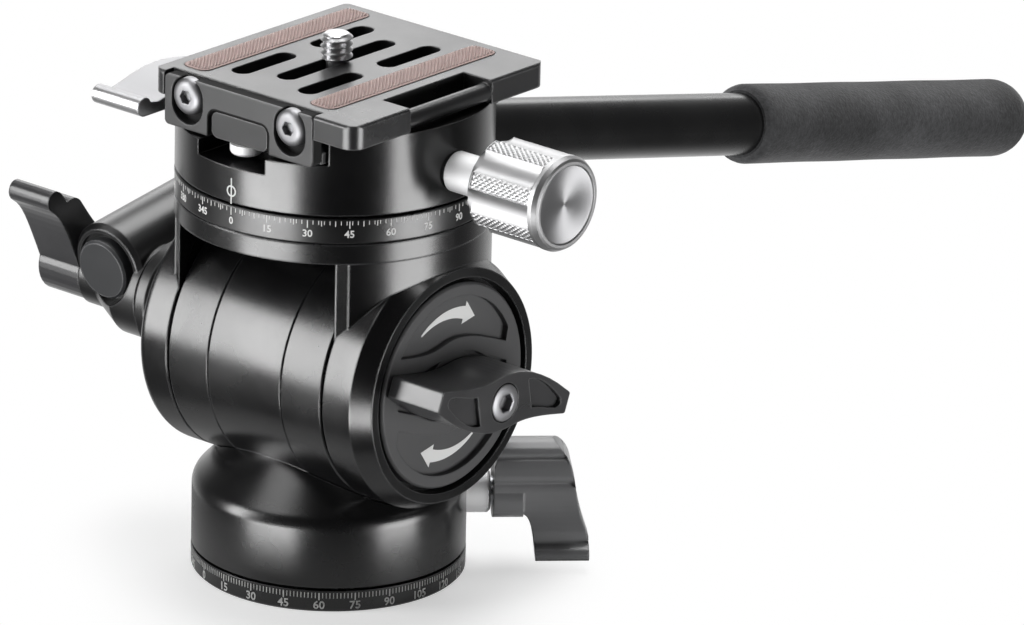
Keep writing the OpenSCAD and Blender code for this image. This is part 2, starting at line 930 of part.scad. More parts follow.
// Wing lever of the handle, drawn for a height of one: hub about the bolt, wing up and forward, rolled tip
module handle_lever_outline() {
    polygon(times(handle_lever_reach, concat(
        arc([0, 0], 0.31, -200, 20, 20),
        curve([0.29, 0.11], [0.22, 0.3], [0.05, 0.4], [-0.07, 0.53]),
        curve([-0.07, 0.53], [-0.17, 0.65], [-0.22, 0.73], [-0.28, 0.81]),
        curve([-0.28, 0.81], [-0.33, 0.87], [-0.41, 0.87], [-0.46, 0.84], 6),
        curve([-0.46, 0.84], [-0.5, 0.83], [-0.52, 0.96], [-0.62, 0.99], 6),
        curve([-0.62, 0.99], [-0.75, 1.01], [-0.79, 0.84], [-0.68, 0.78], 8),
        curve([-0.68, 0.78], [-0.53, 0.69], [-0.45, 0.45], [-0.29, 0.11])
    )));
}

module handle_lever() {
    color(black)
    on_tilt_axis()
    difference() {
        slab_x(-handle_lever_out, -handle_lever_x) handle_lever_outline();
        mirror([1, 0, 0]) bar_x(bolt_r + fixed_play, handle_lever_x - over, handle_lever_out - 2);
    }
}

module handle_bolt() {
    color(steel)
    on_tilt_axis()
    mirror([1, 0, 0])
    bar_x(bolt_r, left_face + 6, handle_lever_out - 2 - fixed_play);
}

// Panning clamp
module top_spindle() {
    color(steel)
    difference() {
        union() {
            bar_z(deck_bore_r, deck_z + spindle_nut_t, scale_z);
            bar_z(spindle_r, scale_z, cap_z);
            bar_z(spindle_nut_r, deck_z, deck_z + spindle_nut_t);
        }
        bar_z(2, deck_z - over, deck_z + 4);
    }
}

module spindle_cap() {
    color(steel)
    difference() {
        bar_z(cap_r, cap_z, cap_z + cap_t);
        for (a = [0, 180]) rotate([0, 0, a]) translate([7, 0, 0])
        bar_z(1.2, cap_z - over, cap_z + cap_t + over);
    }
}

washer_seat = 1.2;

module clamp_thrust_washer() {
    color(white) ring_z(deck_r - 5, spindle_r + 2, scale_top, scale_top + washer_seat);
}

// Jaw face that hooks over the dovetail, in X and Z, on the +X side
module jaw_outline(out) {
    polygon([
        [neck_half + sliding, jaw_top], [out, jaw_top], [out, clamp_top],
        [foot_half + sliding, clamp_top], [foot_half + sliding, flank_z], [neck_half + sliding, flank_z + 2.5]
    ]);
}

module clamp_body() {
    color(black)
    difference() {
        union() {
            rotate_extrude()
            polygon([
                [0, clamp_z], [deck_r - edge / 2, clamp_z], [deck_r, clamp_z + edge / 2],
                [deck_r, clamp_top], [0, clamp_top]
            ]);
            intersection() {
                bar_z(deck_r, clamp_top - over, jaw_top);
                slab_y(-jaw_end_y, jaw_end_y) jaw_outline(deck_r + over);
            }
        }
        // The front of the jaw's lip makes room for the fence
        translate([0, -deck_r, clamp_top]) cube([fence_w / 2 + 2 * sliding, deck_r - lip_y, deck_r]);
        bar_z(spindle_r + running, clamp_z - over, cap_z);
        bar_z(cap_r + sliding, cap_z - 2 * running, clamp_top + over);
        bar_z(deck_r - 5 + sliding, clamp_z - over, scale_top + washer_seat + 2 * running);
        for (side = [-1, 1])
        translate([-stop_channel, side > 0 ? stop_wall : -deck_r - over, clamp_top - channel_h])
        cube([2 * stop_channel, deck_r + over - stop_wall, channel_h + over]);
        for (side = [-1, 1]) {
            translate([-tongue_out - jaw_travel - sliding, side * tongue_y - tongue_t / 2 - sliding, tongue_z - sliding])
            cube([tongue_w + jaw_travel + 2 * sliding + 2, tongue_t + 2 * sliding, tongue_h + over]);
            translate([0, side * tongue_y, tongue_z + tongue_h / 2])
            bar_x(guide_r + fixed_play, -deck_r - over, -tongue_out);
        }
        translate([-pivot_x, 0, 0]) bar_z(pivot_r + fixed_play, clamp_z + 3, clamp_top + over);
        on_knob_axis() bar_x(pad_r + running, 0, brake_pad_x + brake_pad_l + 1);
        on_knob_axis() bar_x(stem_screw_r + running, brake_pad_x + brake_pad_l + running, deck_r + over);
    }
}

module jaw_guide_pins() {
    color(steel)
    for (side = [-1, 1])
    translate([0, side * tongue_y, tongue_z + tongue_h / 2])
    bar_x(guide_r, -deck_r + 3, -tongue_in + 2);
}

module lever_pin() {
    color(steel) translate([-pivot_x, 0, 0]) bar_z(pivot_r, clamp_z + 3, release_z + release_t);
}

module moving_jaw() {
    color(black)
    difference() {
        union() {
            slab_y(-jaw_l / 2, jaw_l / 2)
            mirror([1, 0])
            difference() {
                jaw_outline(jaw_out);
                translate([0, clamp_top - over]) square([deck_r, over + sliding]);
            }
            for (side = [-1, 1])
            translate([-tongue_out, side * tongue_y - tongue_t / 2, tongue_z]) {
                cube([tongue_w, tongue_t, tongue_h + 2 * running]);
                cube([tongue_out - foot_half - sliding, tongue_t, flank_z - tongue_z]);
            }
        }
        translate([-jaw_out - over, -cam_notch, clamp_top - sliding / 2])
        cube([jaw_out + over - cam_seat, 2 * cam_notch, deck_r]);
        for (side = [-1, 1])
        translate([0, side * tongue_y, tongue_z + tongue_h / 2])
        bar_x(guide_r + running, -tongue_out - over, -tongue_in + over);
    }
}

// Quick-release lever: a cam about its pin and an arm that thins down and ends in a rolled finger bar
module release_outline() {
    steps = 12;
    open_angle = 100;
    polygon([
        for (i = [0 : steps])
        let (a = open_angle * i / steps, r = cam_r + (cam_low - cam_r) * i / steps)
        r * [cos(a), sin(a)],
        for (i = [1 : 10])
        let (a = open_angle + (270 - open_angle) * i / 10)
        cam_low * [cos(a), sin(a)],
        [0, -cam_r], cam_r * [cos(-45), sin(-45)], cam_r * [cos(-20), sin(-20)]
    ]);
    translate([pivot_x, 0])
    polygon(concat(
        [[-pivot_x - cam_low, 0]],
        curve([-pivot_x - cam_low, 0], [-pivot_x - cam_low, -6], [-release_out, -6], [-release_out, -14]),
        [[-release_out, -release_reach], [-release_in, -release_reach]],
        [[-release_in, -cam_r + 1], [-pivot_x, 0]]
    ));
}

module release_side() {
    roll_r = release_t * 0.43;
    polygon(concat(
        [[2 * cam_r, 0], [2 * cam_r, release_t]],
        curve([-release_reach * 0.42, release_t], [-release_reach * 0.64, release_t],
            [-release_reach * 0.74, release_t * 0.45], [-release_reach + 2.3 * roll_r, release_t * 0.45]),
        arc([-release_reach + roll_r, roll_r - sliding / 2], roll_r, 20, 270, 14)
    ));
}

module release_lever() {
    color(black)
    translate([-pivot_x, 0, release_z])
    difference() {
        intersection() {
            translate([0, 0, -over]) linear_extrude(release_t + 2 * over) release_outline();
            slab_x(-release_reach, release_reach) release_side();
        }
        bar_z(pivot_r + running, -over, release_t + over);
    }
}

// Knob with smooth flutes that stop short of a plain front rim, and a dished end
module lock_knob() {
    flutes = 7;
    flute_r = 4;
    flute_depth = 1.3;
    knob_r = knob_d / 2;
    chamfer = 1.2;
    rim = 2.2;
    end = knob_x + knob_l;
    color(silver)
    on_knob_axis()
    difference() {
        turned_x([
            [0, knob_x], [knob_r - chamfer, knob_x], [knob_r, knob_x + chamfer],
            [knob_r, end - chamfer], [knob_r - chamfer, end],
            [knob_r - rim, end], [knob_r / 4, end - 0.8], [0, end - 0.8]
        ]);
        for (i = [0 : flutes - 1])
        rotate([i * 360 / flutes, 0, 0])
        translate([0, -knob_r - flute_r + flute_depth, 0])
        bar_x(flute_r, knob_x - over, end - rim);
        bar_x(stem_screw_r + fixed_play, knob_x - over, knob_x + 10);
    }
}

module knob_stem() {
    color(silver)
    on_knob_axis() {
        bar_x(stem_screw_r, brake_pad_x + brake_pad_l + 2 * running, knob_x + 10 - running);
        difference() {
            bar_x(stem_d / 2, deck_r + sliding, knob_x - fixed_play);
            bar_x(stem_screw_r - over, 0, knob_x + over);
        }
    }
}

module clamp_brake_pad() {
    color(bronze) on_knob_axis() bar_x(pad_r, brake_pad_x, brake_pad_x + brake_pad_l);
}

// Quick-release plate
module dovetail_outline() {
    polygon([
        [-neck_half, slab_z + over], [neck_half, slab_z + over], [neck_half, flank_z + 2.5], [foot_half, flank_z],
        [foot_half, foot_z], [-foot_half, foot_z], [-foot_half, flank_z], [-neck_half, flank_z + 2.5]
    ]);
}

module plate_edge_cut(l) {
    rotate([0, 45, 0]) cube([edge * sqrt(2), l + 2 * over, edge * sqrt(2)], center = true);
}

module pad_outline(side, play) {
    mirror([side < 0 ? 1 : 0, 0])
    round_rect([pad_x + play, pad_front + play], [pad_x + pad_w - play, pad_back - play], pad_corner - play);
}

module qr_plate() {
    mid_x = (plate_right - plate_left) / 2;
    color(dark) {
        difference() {
            union() {
                translate([0, 0, slab_z])
                linear_extrude(slab_t)
                round_rect([-plate_left, front_y], [plate_right, -front_y], plate_corner);
                slab_y(foot_front, foot_back) dovetail_outline();
                slab_y(front_y + 0.4, foot_front + over)
                round_rect([-tongue_half, foot_z], [tongue_half, notch_top - sliding], 1.6);
            }
            // Recess for the fence
            translate([-fence_w / 2 - sliding, front_y - over, foot_z - over])
            difference() {
                cube([fence_w + 2 * sliding, over + fence_t + 0.2, plate_top]);
                translate([fence_w / 2 + sliding - tongue_half, 0, 0])
                cube([2 * tongue_half, deck_r, notch_top - foot_z + over - sliding]);
            }
            // Camera screw pocket, stop screw seats and slots
            translate([-screw_pocket, -long_slot / 2 - screw_head_r, foot_z - over])
            cube([2 * screw_pocket, long_slot + 2 * screw_head_r, slab_z - foot_z + over]);
            translate([0, 0, slab_z - over]) linear_extrude(slab_t + 2 * over)
            round_slot(long_slot, slot_w);
            for (x = [-1, 1], y = [-1, 1])
            translate([x * slot_pitch, y * slot_y, foot_z - over])
            linear_extrude(plate_top)
            round_slot(slot_l, slot_w);
            for (y = [-1, 1]) translate([0, y * stop_y, 0]) bar_z(1.5 + fixed_play, foot_z - over, slab_z);
            for (x = [-1, 1])
            translate([x * fence_screw_x, 0, fence_screw_z])
            bar_y(shank_r + fixed_play, front_y, foot_front + 6);
            // Pads
            for (side = [-1, 1]) translate([0, 0, plate_top - pad_sink]) linear_extrude(over + pad_sink)
            pad_outline(side, 0);
            // Strap opening
            translate([strap_in, -strap_l / 2, slab_z - over])
            cube([plate_right - strap_in + over, strap_l, slab_t + 2 * over]);
            // Broken edges
            for (x = [-plate_left, plate_right]) translate([x, 0, plate_top]) plate_edge_cut(plate_l);
            for (y = [front_y, -front_y])
            translate([mid_x, y, plate_top])
            rotate([0, 0, 90])
            plate_edge_cut(plate_left + plate_right);
        }
        translate([plate_right - strap_bar_d / 2, 0, slab_z + strap_bar_d / 2 + 0.2])
        bar_y(strap_bar_d / 2, -strap_l / 2 - over, strap_l / 2 + over);
    }
}

module plate_pad(side) {
    color(brown) translate([0, 0, plate_top - pad_sink]) linear_extrude(pad_t) pad_outline(side, 0.1);
}

module plate_pad_left() {
    plate_pad(-1);
}

module plate_pad_right() {
    plate_pad(1);
}

module stop_screws() {
    color(silver)
    for (y = [-1, 1])
    translate([0, y * stop_y, 0]) {
        bar_z(1.5, foot_z - over, slab_z - 0.4);
        translate([0, 0, foot_z - stop_h])
        rotate_extrude()
        polygon(concat([[0, 0], [stop_r - 1, 0]], arc([stop_r - 1, 1], 1, -90, 0, 5), [[stop_r, stop_h], [0, stop_h]]));
    }
}

// Button-head screws of the fence
module fence_screws() {
    color(silver)
    for (x = [-1, 1])
    translate([x * fence_screw_x, 0, fence_screw_z]) {
        difference() {
            rotate([-90, 0, 0])
            rotate_extrude()
            polygon(concat(
                [[0, front_y - 0.6], [head_r - 1.6, front_y - 0.6]],
                arc([head_r - 1.6, front_y + 1], 1.6, -90, 0, 6),
                [[head_r, fence_back - head_seat - 2 * running], [0, fence_back - head_seat - 2 * running]]
            ));
            bar_y(1.4, front_y - over, front_y + 0.8);
        }
        bar_y(shank_r, fence_back - head_seat - over, foot_front + 5);
    }
}

// Fence: slotted for its screws, and open below round the plate's tongue
module fence() {
    color(dark)
    difference() {
        slab_y(front_y, fence_back) round_rect([-fence_w / 2, fence_low], [fence_w / 2, fence_top], 1);
        slab_y(front_y - over, fence_back + over)
        round_rect([-notch_half, fence_low - 4], [notch_half, notch_top], 2);
        for (x = [-1, 1])
        translate([x * fence_screw_x, 0, fence_screw_z - fence_travel / 2]) {
            slab_y(front_y - over, fence_back + over)
            round_slot(fence_travel + 2 * shank_r + 2 * sliding, 2 * shank_r + 2 * sliding);
            slab_y(front_y - over, fence_back - head_seat)
            round_slot(fence_travel + 2 * head_r + 2 * sliding, 2 * head_r + 2 * sliding);
        }
    }
}

module screw_washer() {
    color(dark) ring_z(screw_head_r, neck_r + running, slab_z - screw_washer_t - running, slab_z - running);
}

module camera_screw() {
    thread_r = camera_thread_d / 2;
    head_top = slab_z - screw_washer_t - 2 * running;
    tip = plate_top + camera_thread_h;
    color(silver)
    difference() {
        rotate_extrude()
        polygon([
            [0, screw_head_z], [screw_head_r, screw_head_z], [screw_head_r, head_top], [neck_r, head_top],
            [neck_r, plate_top + 0.2], [thread_r - 0.6, plate_top + 0.2], [thread_r, plate_top + 0.8],
            [thread_r, tip - 0.9], [thread_r - 0.9, tip], [0, tip]
        ]);
        translate([-screw_head_r - over, -0.8, screw_head_z - over])
        cube([2 * screw_head_r + 2 * over, 1.6, over + 1.2]);
    }
}

base_plate();
thread_insert();
pan_thrust_washer();
pan_brake_disc();
pan_housing();
drag_ring_left();
drag_ring_right();
shaft_bush_left();
shaft_bush_right();
pan_lock_collar();
pan_brake_shoe();
pan_lock_lever();
pan_lock_screw();
yoke();
scale_ring();
tilt_shaft();
damper_rotor_left();
damper_rotor_right();
tilt_cover();
handle_boss();
top_spindle();
spindle_cap();
tilt_lever();
tilt_lever_screw();
handle_block();
handle_plug();
friction_washer();
handle_tube();
handle_grip();
handle_lever();
handle_bolt();
clamp_body();
clamp_thrust_washer();
jaw_guide_pins();
lever_pin();
lock_knob();
knob_stem();
clamp_brake_pad();
release_lever();
moving_jaw();
qr_plate();
plate_pad_left();
plate_pad_right();
stop_screws();
fence_screws();
fence();
screw_washer();
camera_screw();
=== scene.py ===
import bpy
import bmesh
import math
from mathutils import Matrix, Vector


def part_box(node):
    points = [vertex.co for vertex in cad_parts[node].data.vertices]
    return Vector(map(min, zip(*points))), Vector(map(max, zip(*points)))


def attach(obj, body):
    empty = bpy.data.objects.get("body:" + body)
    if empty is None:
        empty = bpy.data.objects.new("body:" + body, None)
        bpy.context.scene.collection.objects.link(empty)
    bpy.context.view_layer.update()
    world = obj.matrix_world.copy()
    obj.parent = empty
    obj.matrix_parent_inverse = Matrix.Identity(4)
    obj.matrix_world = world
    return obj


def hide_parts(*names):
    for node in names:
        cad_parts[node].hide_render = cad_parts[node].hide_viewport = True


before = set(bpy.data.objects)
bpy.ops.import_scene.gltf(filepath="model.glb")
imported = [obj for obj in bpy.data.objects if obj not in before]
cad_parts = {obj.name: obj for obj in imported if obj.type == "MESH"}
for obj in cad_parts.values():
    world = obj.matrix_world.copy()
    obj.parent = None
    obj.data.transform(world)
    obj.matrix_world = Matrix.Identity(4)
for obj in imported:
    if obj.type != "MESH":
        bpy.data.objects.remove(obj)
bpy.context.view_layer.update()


# Studio: the head stands on a small round pale table in a dim room, in front of a white backdrop.
# Six soft boxes light it: left front, low front, right, top, a small fill and back left.
# The camera is far off with a long lens, at the place that was fitted to the photo.
def put(tree, kind, sockets=None, **settings):
    """Adds a node, sets or links its inputs by name or number, and returns it."""
    made = tree.nodes.new(kind)
    for key, value in settings.items():
        setattr(made, key, value)
    for key, value in (sockets or {}).items():
        socket = made.inputs[key]
        if isinstance(value, bpy.types.NodeSocket):
            tree.links.new(value, socket)
        else:
            socket.default_value = value
    return made


def calc(tree, operation, *values, clamp=False):
    """A math node on sockets or numbers; returns its result."""
    return put(tree, "ShaderNodeMath", dict(enumerate(values)), operation=operation, use_clamp=clamp).outputs[0]


def vector_calc(tree, operation, *values):
    """A vector math node; returns its result, which is a number for lengths and dot products."""
    made = put(tree, "ShaderNodeVectorMath", dict(enumerate(values)), operation=operation)
    return made.outputs["Value" if operation in ("LENGTH", "DOT_PRODUCT") else "Vector"]


def ramp(tree, value, start, stop, low=0.0, high=1.0, shape="LINEAR"):
    """Maps a value between start and stop to low and high, and holds it beyond them."""
    ends = {"Value": value, "From Min": start, "From Max": stop, "To Min": low, "To Max": high}
    return put(tree, "ShaderNodeMapRange", ends, interpolation_type=shape).outputs[0]


def mix_colours(tree, share, first, second):
    """Goes from the first colour to the second; they are inputs 6 and 7 of the mix node."""
    return put(tree, "ShaderNodeMix", {"Factor": share, 6: first, 7: second}, data_type="RGBA").outputs[2]


def coords(tree, space="Object"):
    return put(tree, "ShaderNodeTexCoord").outputs[space]


def bare_tree(owner):
    """Switches on the nodes of a world or material and returns its emptied tree."""
    owner.use_nodes = True
    owner.node_tree.nodes.clear()
    return owner.node_tree


def camera_rays(tree):
    """Two values: 1 on rays straight from the camera, also through glass, and 1 on mirrored rays."""
    ray = put(tree, "ShaderNodeLightPath").outputs
    return calc(tree, "ADD", ray["Is Camera Ray"], ray["Is Transmission Ray"]), ray["Is Glossy Ray"]


def circle(radius, sides):
    """Points of a circle as pairs."""
    angles = [2 * math.pi * i / sides for i in range(sides)]
    return [(radius * math.cos(a), radius * math.sin(a)) for a in angles]


def add(name, data):
    """Adds an object to the scene and returns it."""
    made = bpy.data.objects.new(name, data)
    scene.collection.objects.link(made)
    return made


scene = bpy.context.scene
scene.view_settings.view_transform = "Standard"
azimuth, elevation, roll = math.radians(40.29), math.radians(20.17), math.radians(1.38)
flat_share = math.cos(elevation)
away = Vector((math.sin(azimuth) * flat_share, -math.cos(azimuth) * flat_share, math.sin(elevation)))
level = Vector((math.cos(azimuth), math.sin(azimuth), 0))
upright = level.cross(-away)
cam_right = math.cos(roll) * level + math.sin(roll) * upright
cam_up = math.cos(roll) * upright - math.sin(roll) * level
cam_place = Vector((1.08999, -1.23163, 0.65693))
focal_px, picture_px, sensor_mm = 9000, 1024, 36.0
lens = bpy.data.cameras.new("studio_camera")
lens.sensor_width = sensor_mm
lens.lens = focal_px * sensor_mm / picture_px
lens.clip_start = 0.05
camera = add("studio_camera", lens)
camera.matrix_world = Matrix([[cam_right[i], cam_up[i], away[i], cam_place[i]] for i in range(3)] + [[0, 0, 0, 1]])
scene.camera = camera

room_side, backdrop_edge, room_light = (0.607, -0.716, 0.345), -0.45, 0.4
world = bpy.data.worlds.new("studio_surround")
scene.world = world
tree = bare_tree(world)
seen, glossy = camera_rays(tree)
shown = calc(tree, "ADD", seen, glossy, clamp=True)
facing = vector_calc(tree, "DOT_PRODUCT", coords(tree, "Generated"), room_side)
backdrop = ramp(tree, facing, -1.0, backdrop_edge, 1.0, 0.1, "SMOOTHSTEP")
room = ramp(tree, facing, backdrop_edge, 0.4, 1.0, 0.12, "SMOOTHSTEP")
shade = calc(tree, "MULTIPLY", backdrop, room)
tone = put(tree, "ShaderNodeMix", {"Factor": seen, "A": shade, "B": 1.0})
power = put(tree, "ShaderNodeMix", {"Factor": shown, "A": room_light, "B": 1.0})
back = put(tree, "ShaderNodeBackground", {"Color": tone.outputs[0], "Strength": power.outputs[0]})
put(tree, "ShaderNodeOutputWorld", {"Surface": back.outputs[0]})

table_r, table_middle, table_sides = 0.06, 0.032, 96
table_mirrored, middle_glow, middle_grey, rim_black = 0.3, 0.55, (0.6, 0.6, 0.6, 1), (0, 0, 0, 1)
floor_mat = bpy.data.materials.new("floor_white")
tree = bare_tree(floor_mat)
seen, glossy = camera_rays(tree)
shown = calc(tree, "ADD", seen, calc(tree, "MULTIPLY", glossy, table_mirrored), clamp=True)
to_rim = ramp(tree, vector_calc(tree, "LENGTH", coords(tree)), table_middle, table_r, shape="SMOOTHSTEP")
lift = calc(tree, "MULTIPLY", shown, ramp(tree, to_rim, 0.0, 1.0, middle_glow, 1.0))
glow = put(tree, "ShaderNodeEmission", {"Color": (1, 1, 1, 1), "Strength": lift})
matt = put(tree, "ShaderNodeBsdfDiffuse", {"Color": mix_colours(tree, to_rim, middle_grey, rim_black)})
both = put(tree, "ShaderNodeAddShader", {0: glow.outputs[0], 1: matt.outputs[0]})
put(tree, "ShaderNodeOutputMaterial", {"Surface": both.outputs[0]})
mesh = bpy.data.meshes.new("floor")
mesh.from_pydata([(x, y, 0) for x, y in circle(table_r, table_sides)], [], [range(table_sides)])
mesh.materials.append(floor_mat)
floor = add("floor", mesh)

# Each box: its place, the height on the axis that it is aimed at, width, height and watts.
soft_boxes = {
    "key_box": ((-0.76, -0.97, 0.27), 0.05, 0.42, 0.87, 10),
    "low_box": ((-0.12, -1.1, -0.39), 0.06, 0.87, 0.4, 10.5),
    "right_box": ((1.05, 0.19, -0.18), 0.05, 0.65, 0.6, 8.5),
    "top_box": ((-0.25, 0.35, 1.15), 0.1, 0.9, 0.9, 12),
    "fill_box": ((-0.32, -0.52, 1.0), 0.05, 0.45, 0.45, 1.6),
    "back_box": ((-0.76, 0.9, 0.5), 0.09, 0.8, 0.5, 2.4)}
for name, (place, aim_z, width, height, watts) in soft_boxes.items():
    light = bpy.data.lights.new(name, "AREA")
    light.shape = "RECTANGLE"
    light.size, light.size_y, light.energy = width, height, watts
    turned = (Vector((0, 0, aim_z)) - Vector(place)).to_track_quat("-Z", "Y").to_matrix().to_4x4()
    lamp = add(name, light)
    lamp.matrix_world = Matrix.Translation(place) @ turned
    lamp.visible_camera = False


# Base plate: a turned black disc that carries the lower pan scale, printed in white.
# It is anodised after a light bead blast, so the black has a fine grain and paler edges.
def noise(tree, scale, detail, roughness=0.5):
    """Noise over the object's own space."""
    sizes = {"Vector": coords(tree), "Scale": scale, "Detail": detail, "Roughness": roughness}
    return put(tree, "ShaderNodeTexNoise", sizes).outputs["Fac"]


def node_group(name, kind, inputs, outputs):
    """A node group with its sockets, given as names and kinds; returns it and what comes in."""
    group = bpy.data.node_groups.new(name, kind)
    for way, sockets in (("INPUT", inputs), ("OUTPUT", outputs)):
        for label, sort in sockets.items():
            group.interface.new_socket(label, in_out=way, socket_type="NodeSocket" + sort)
    return group, put(group, "NodeGroupInput").outputs


# Paler edges: wear on most finishes, and a painted highlight on the plate's and plug's chamfers.
edge_group, entry = node_group("worn_and_highlit_edges", "ShaderNodeTree", {"Radius": "Float"},
                               {"Edge": "Float", "Normal": "Vector"})
rounded = put(edge_group, "ShaderNodeBevel", {"Radius": entry["Radius"]}, samples=4).outputs[0]
true_face = put(edge_group, "ShaderNodeNewGeometry").outputs["Normal"]
pale_edge_starts, pale_edge_full = 0.995, 0.86
wear_and_highlight = ramp(edge_group, vector_calc(edge_group, "DOT_PRODUCT", rounded, true_face), pale_edge_starts, pale_edge_full)
patchy = calc(edge_group, "MULTIPLY", wear_and_highlight, noise(edge_group, 260.0, 3.0))
put(edge_group, "NodeGroupOutput", {"Edge": patchy, "Normal": rounded})

blast_group, entry = node_group("blast_grain", "ShaderNodeTree", {"Grain": "Float"},
                                {"Height": "Float", "Cloud": "Float"})
fine, cloud = noise(blast_group, entry["Grain"], 2.0), noise(blast_group, 45.0, 4.0, 0.6)
put(blast_group, "NodeGroupOutput", {"Height": fine, "Cloud": cloud})


def finish(name, colour, edge_colour, rough, metal=0.0, grain=5200.0, bump=0.12, radius=0.00035, specular=0.5,
           vary=0.5):
    """A blasted or turned surface: grain in the bump, clouds in colour and roughness, paler edges that are partly
    wear and partly painted highlight.
    """
    gloss_spread, grain_height, cloud_low, cloud_high = 0.05, 0.00006, 0.3, 0.7
    mat = bpy.data.materials.new(name)
    tree = bare_tree(mat)
    edges = put(tree, "ShaderNodeGroup", {"Radius": radius}, node_tree=edge_group)
    blast = put(tree, "ShaderNodeGroup", {"Grain": grain}, node_tree=blast_group)
    darker = tuple(c * (1 - vary * 0.5) for c in colour) + (1,)
    lighter = tuple(min(1, c * (1 + vary * 0.5)) for c in colour) + (1,)
    body = mix_colours(tree, blast.outputs["Cloud"], darker, lighter)
    relief = put(tree, "ShaderNodeBump", {"Strength": bump, "Distance": grain_height,
                                          "Height": blast.outputs["Height"], "Normal": edges.outputs["Normal"]})
    shader = put(tree, "ShaderNodeBsdfPrincipled", {
        "Base Color": mix_colours(tree, edges.outputs["Edge"], body, edge_colour + (1,)),
        "Roughness": ramp(tree, blast.outputs["Cloud"], cloud_low, cloud_high, rough - gloss_spread,
                          rough + gloss_spread),
        "Metallic": metal, "Specular IOR Level": specular, "Normal": relief.outputs[0]})
    put(tree, "ShaderNodeOutputMaterial", {"Surface": shader.outputs[0]})
    return mat


def dress(mat, *names):
    for name in names:
        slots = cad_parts[name].data.materials
        slots.clear()
        slots.append(mat)


deep_black, edge_grey, edge_pale = (0.003, 0.003, 0.0033), (0.1, 0.1, 0.105), (0.12, 0.12, 0.125)
base_anodised = finish("base_anodised", deep_black, edge_grey, 0.26, specular=0.9)
dress(base_anodised, "base_plate")
ink = (0.7, 0.7, 0.69)
print_white = finish("print_white", ink, ink, 0.55, grain=9000.0, bump=0.3, vary=0.15, radius=0.00002)


def axes_of(tree, vector):
    return put(tree, "ShaderNodeSeparateXYZ", {0: vector}).outputs


def vector_of(tree, *parts):
    return put(tree, "ShaderNodeCombineXYZ", dict(enumerate(parts))).outputs[0]


def end_tree(tree, geometry, material):
    """Ends a Geometry Nodes tree with real geometry in one material."""
    solid = put(tree, "GeometryNodeRealizeInstances", {0: geometry})
    inked = put(tree, "GeometryNodeSetMaterial", {"Geometry": solid.outputs[0], "Material": material})
    put(tree, "NodeGroupOutput", {0: inked.outputs[0]})


# One tree makes every ring of scale marks: a circle of points, each with a thin upright bar.
ring_tree, entry = node_group("scale_marks", "GeometryNodeTree", {
    "Geometry": "Geometry", "Count": "Int", "Radius": "Float", "Low": "Float", "Height": "Float", "Width": "Float",
    "Depth": "Float", "Turn": "Float", "Material": "Material"}, {"Geometry": "Geometry"})
hoop = put(ring_tree, "GeometryNodeMeshCircle", {"Vertices": entry["Count"], "Radius": entry["Radius"]})
bar_size = vector_of(ring_tree, entry["Depth"], entry["Width"], entry["Height"])
bar = put(ring_tree, "GeometryNodeMeshCube", {"Size": bar_size})
axes = axes_of(ring_tree, put(ring_tree, "GeometryNodeInputPosition").outputs[0])
face_out = vector_of(ring_tree, 0, 0, calc(ring_tree, "ARCTAN2", axes[1], axes[0]))
marks = put(ring_tree, "GeometryNodeInstanceOnPoints", {"Points": hoop.outputs[0], "Instance": bar.outputs[0],
                                                        "Rotation": face_out})
middle = calc(ring_tree, "MULTIPLY_ADD", entry["Height"], 0.5, entry["Low"])
placed = put(ring_tree, "GeometryNodeTransform", {
    "Geometry": marks.outputs[0], "Translation": vector_of(ring_tree, 0, 0, middle),
    "Rotation": vector_of(ring_tree, 0, 0, entry["Turn"])})
end_tree(ring_tree, placed.outputs[0], entry["Material"])


def mesh_of(holder):
    """The finished mesh of an object, which is then removed."""
    result = bpy.data.meshes.new_from_object(holder.evaluated_get(bpy.context.evaluated_depsgraph_get()))
    bpy.data.objects.remove(holder)
    return result


def grown(name, tree, sizes):
    """Runs a Geometry Nodes tree once and keeps its result as a plain mesh."""
    holder = add(name + "_holder", bpy.data.meshes.new(name + "_holder"))
    modifier = holder.modifiers.new(name, "NODES")
    modifier.node_group = tree
    for item in tree.interface.items_tree:
        if item.in_out == "INPUT" and item.name in sizes:
            modifier[item.identifier] = sizes[item.name]
    return mesh_of(holder)


def as_mesh(shape, name):
    """Turns a working shape into a mesh and frees it."""
    mesh = bpy.data.meshes.new(name)
    shape.to_mesh(mesh)
    shape.free()
    return mesh


def joined(name, meshes, mat, body):
    """Puts meshes together as one piece that rides on a body."""
    whole = bmesh.new()
    for part in meshes:
        whole.from_mesh(part)
        bpy.data.meshes.remove(part)
    bmesh.ops.recalc_face_normals(whole, faces=whole.faces)
    mesh = as_mesh(whole, name)
    mesh.materials.append(mat)
    piece = add(name, mesh)
    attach(piece, body)
    return piece


def lettering(text, size, place):
    """Flat type, thickened a little, with each point moved by place(x, y, z)."""
    curve = bpy.data.curves.new("type", "FONT")
    curve.body, curve.size, curve.align_x, curve.align_y = text, size, "CENTER", "CENTER"
    curve.extrude, curve.offset, curve.resolution_u = 0.00002, 0.00004, 3
    mesh = mesh_of(add("type", curve))
    for vertex in mesh.vertices:
        vertex.co = place(*vertex.co)
    return mesh


def round_wall(radius, angle, height):
    """Place on a round wall: angle from the front, -Y, towards +X."""
    def place(x, y, z):
        a = angle + x / radius
        return Vector(((radius + z) * math.sin(a), -(radius + z) * math.cos(a), height + y))
    return place


def scale_print(radius, zero, rings, figure_size, figure_z):
    """Rings of marks, each given as count, low edge, height, width and depth, and a figure every 15 degrees."""
    front = math.radians(-90)
    parts = [grown("marks", ring_tree, {
        "Count": count, "Radius": radius, "Low": low, "Height": height, "Width": width, "Depth": depth,
        "Turn": front + zero, "Material": print_white}) for count, low, height, width, depth in rings]
    for degrees in range(0, 360, 15):
        parts.append(lettering(str(degrees), figure_size, round_wall(radius, zero + math.radians(degrees), figure_z)))
    return parts


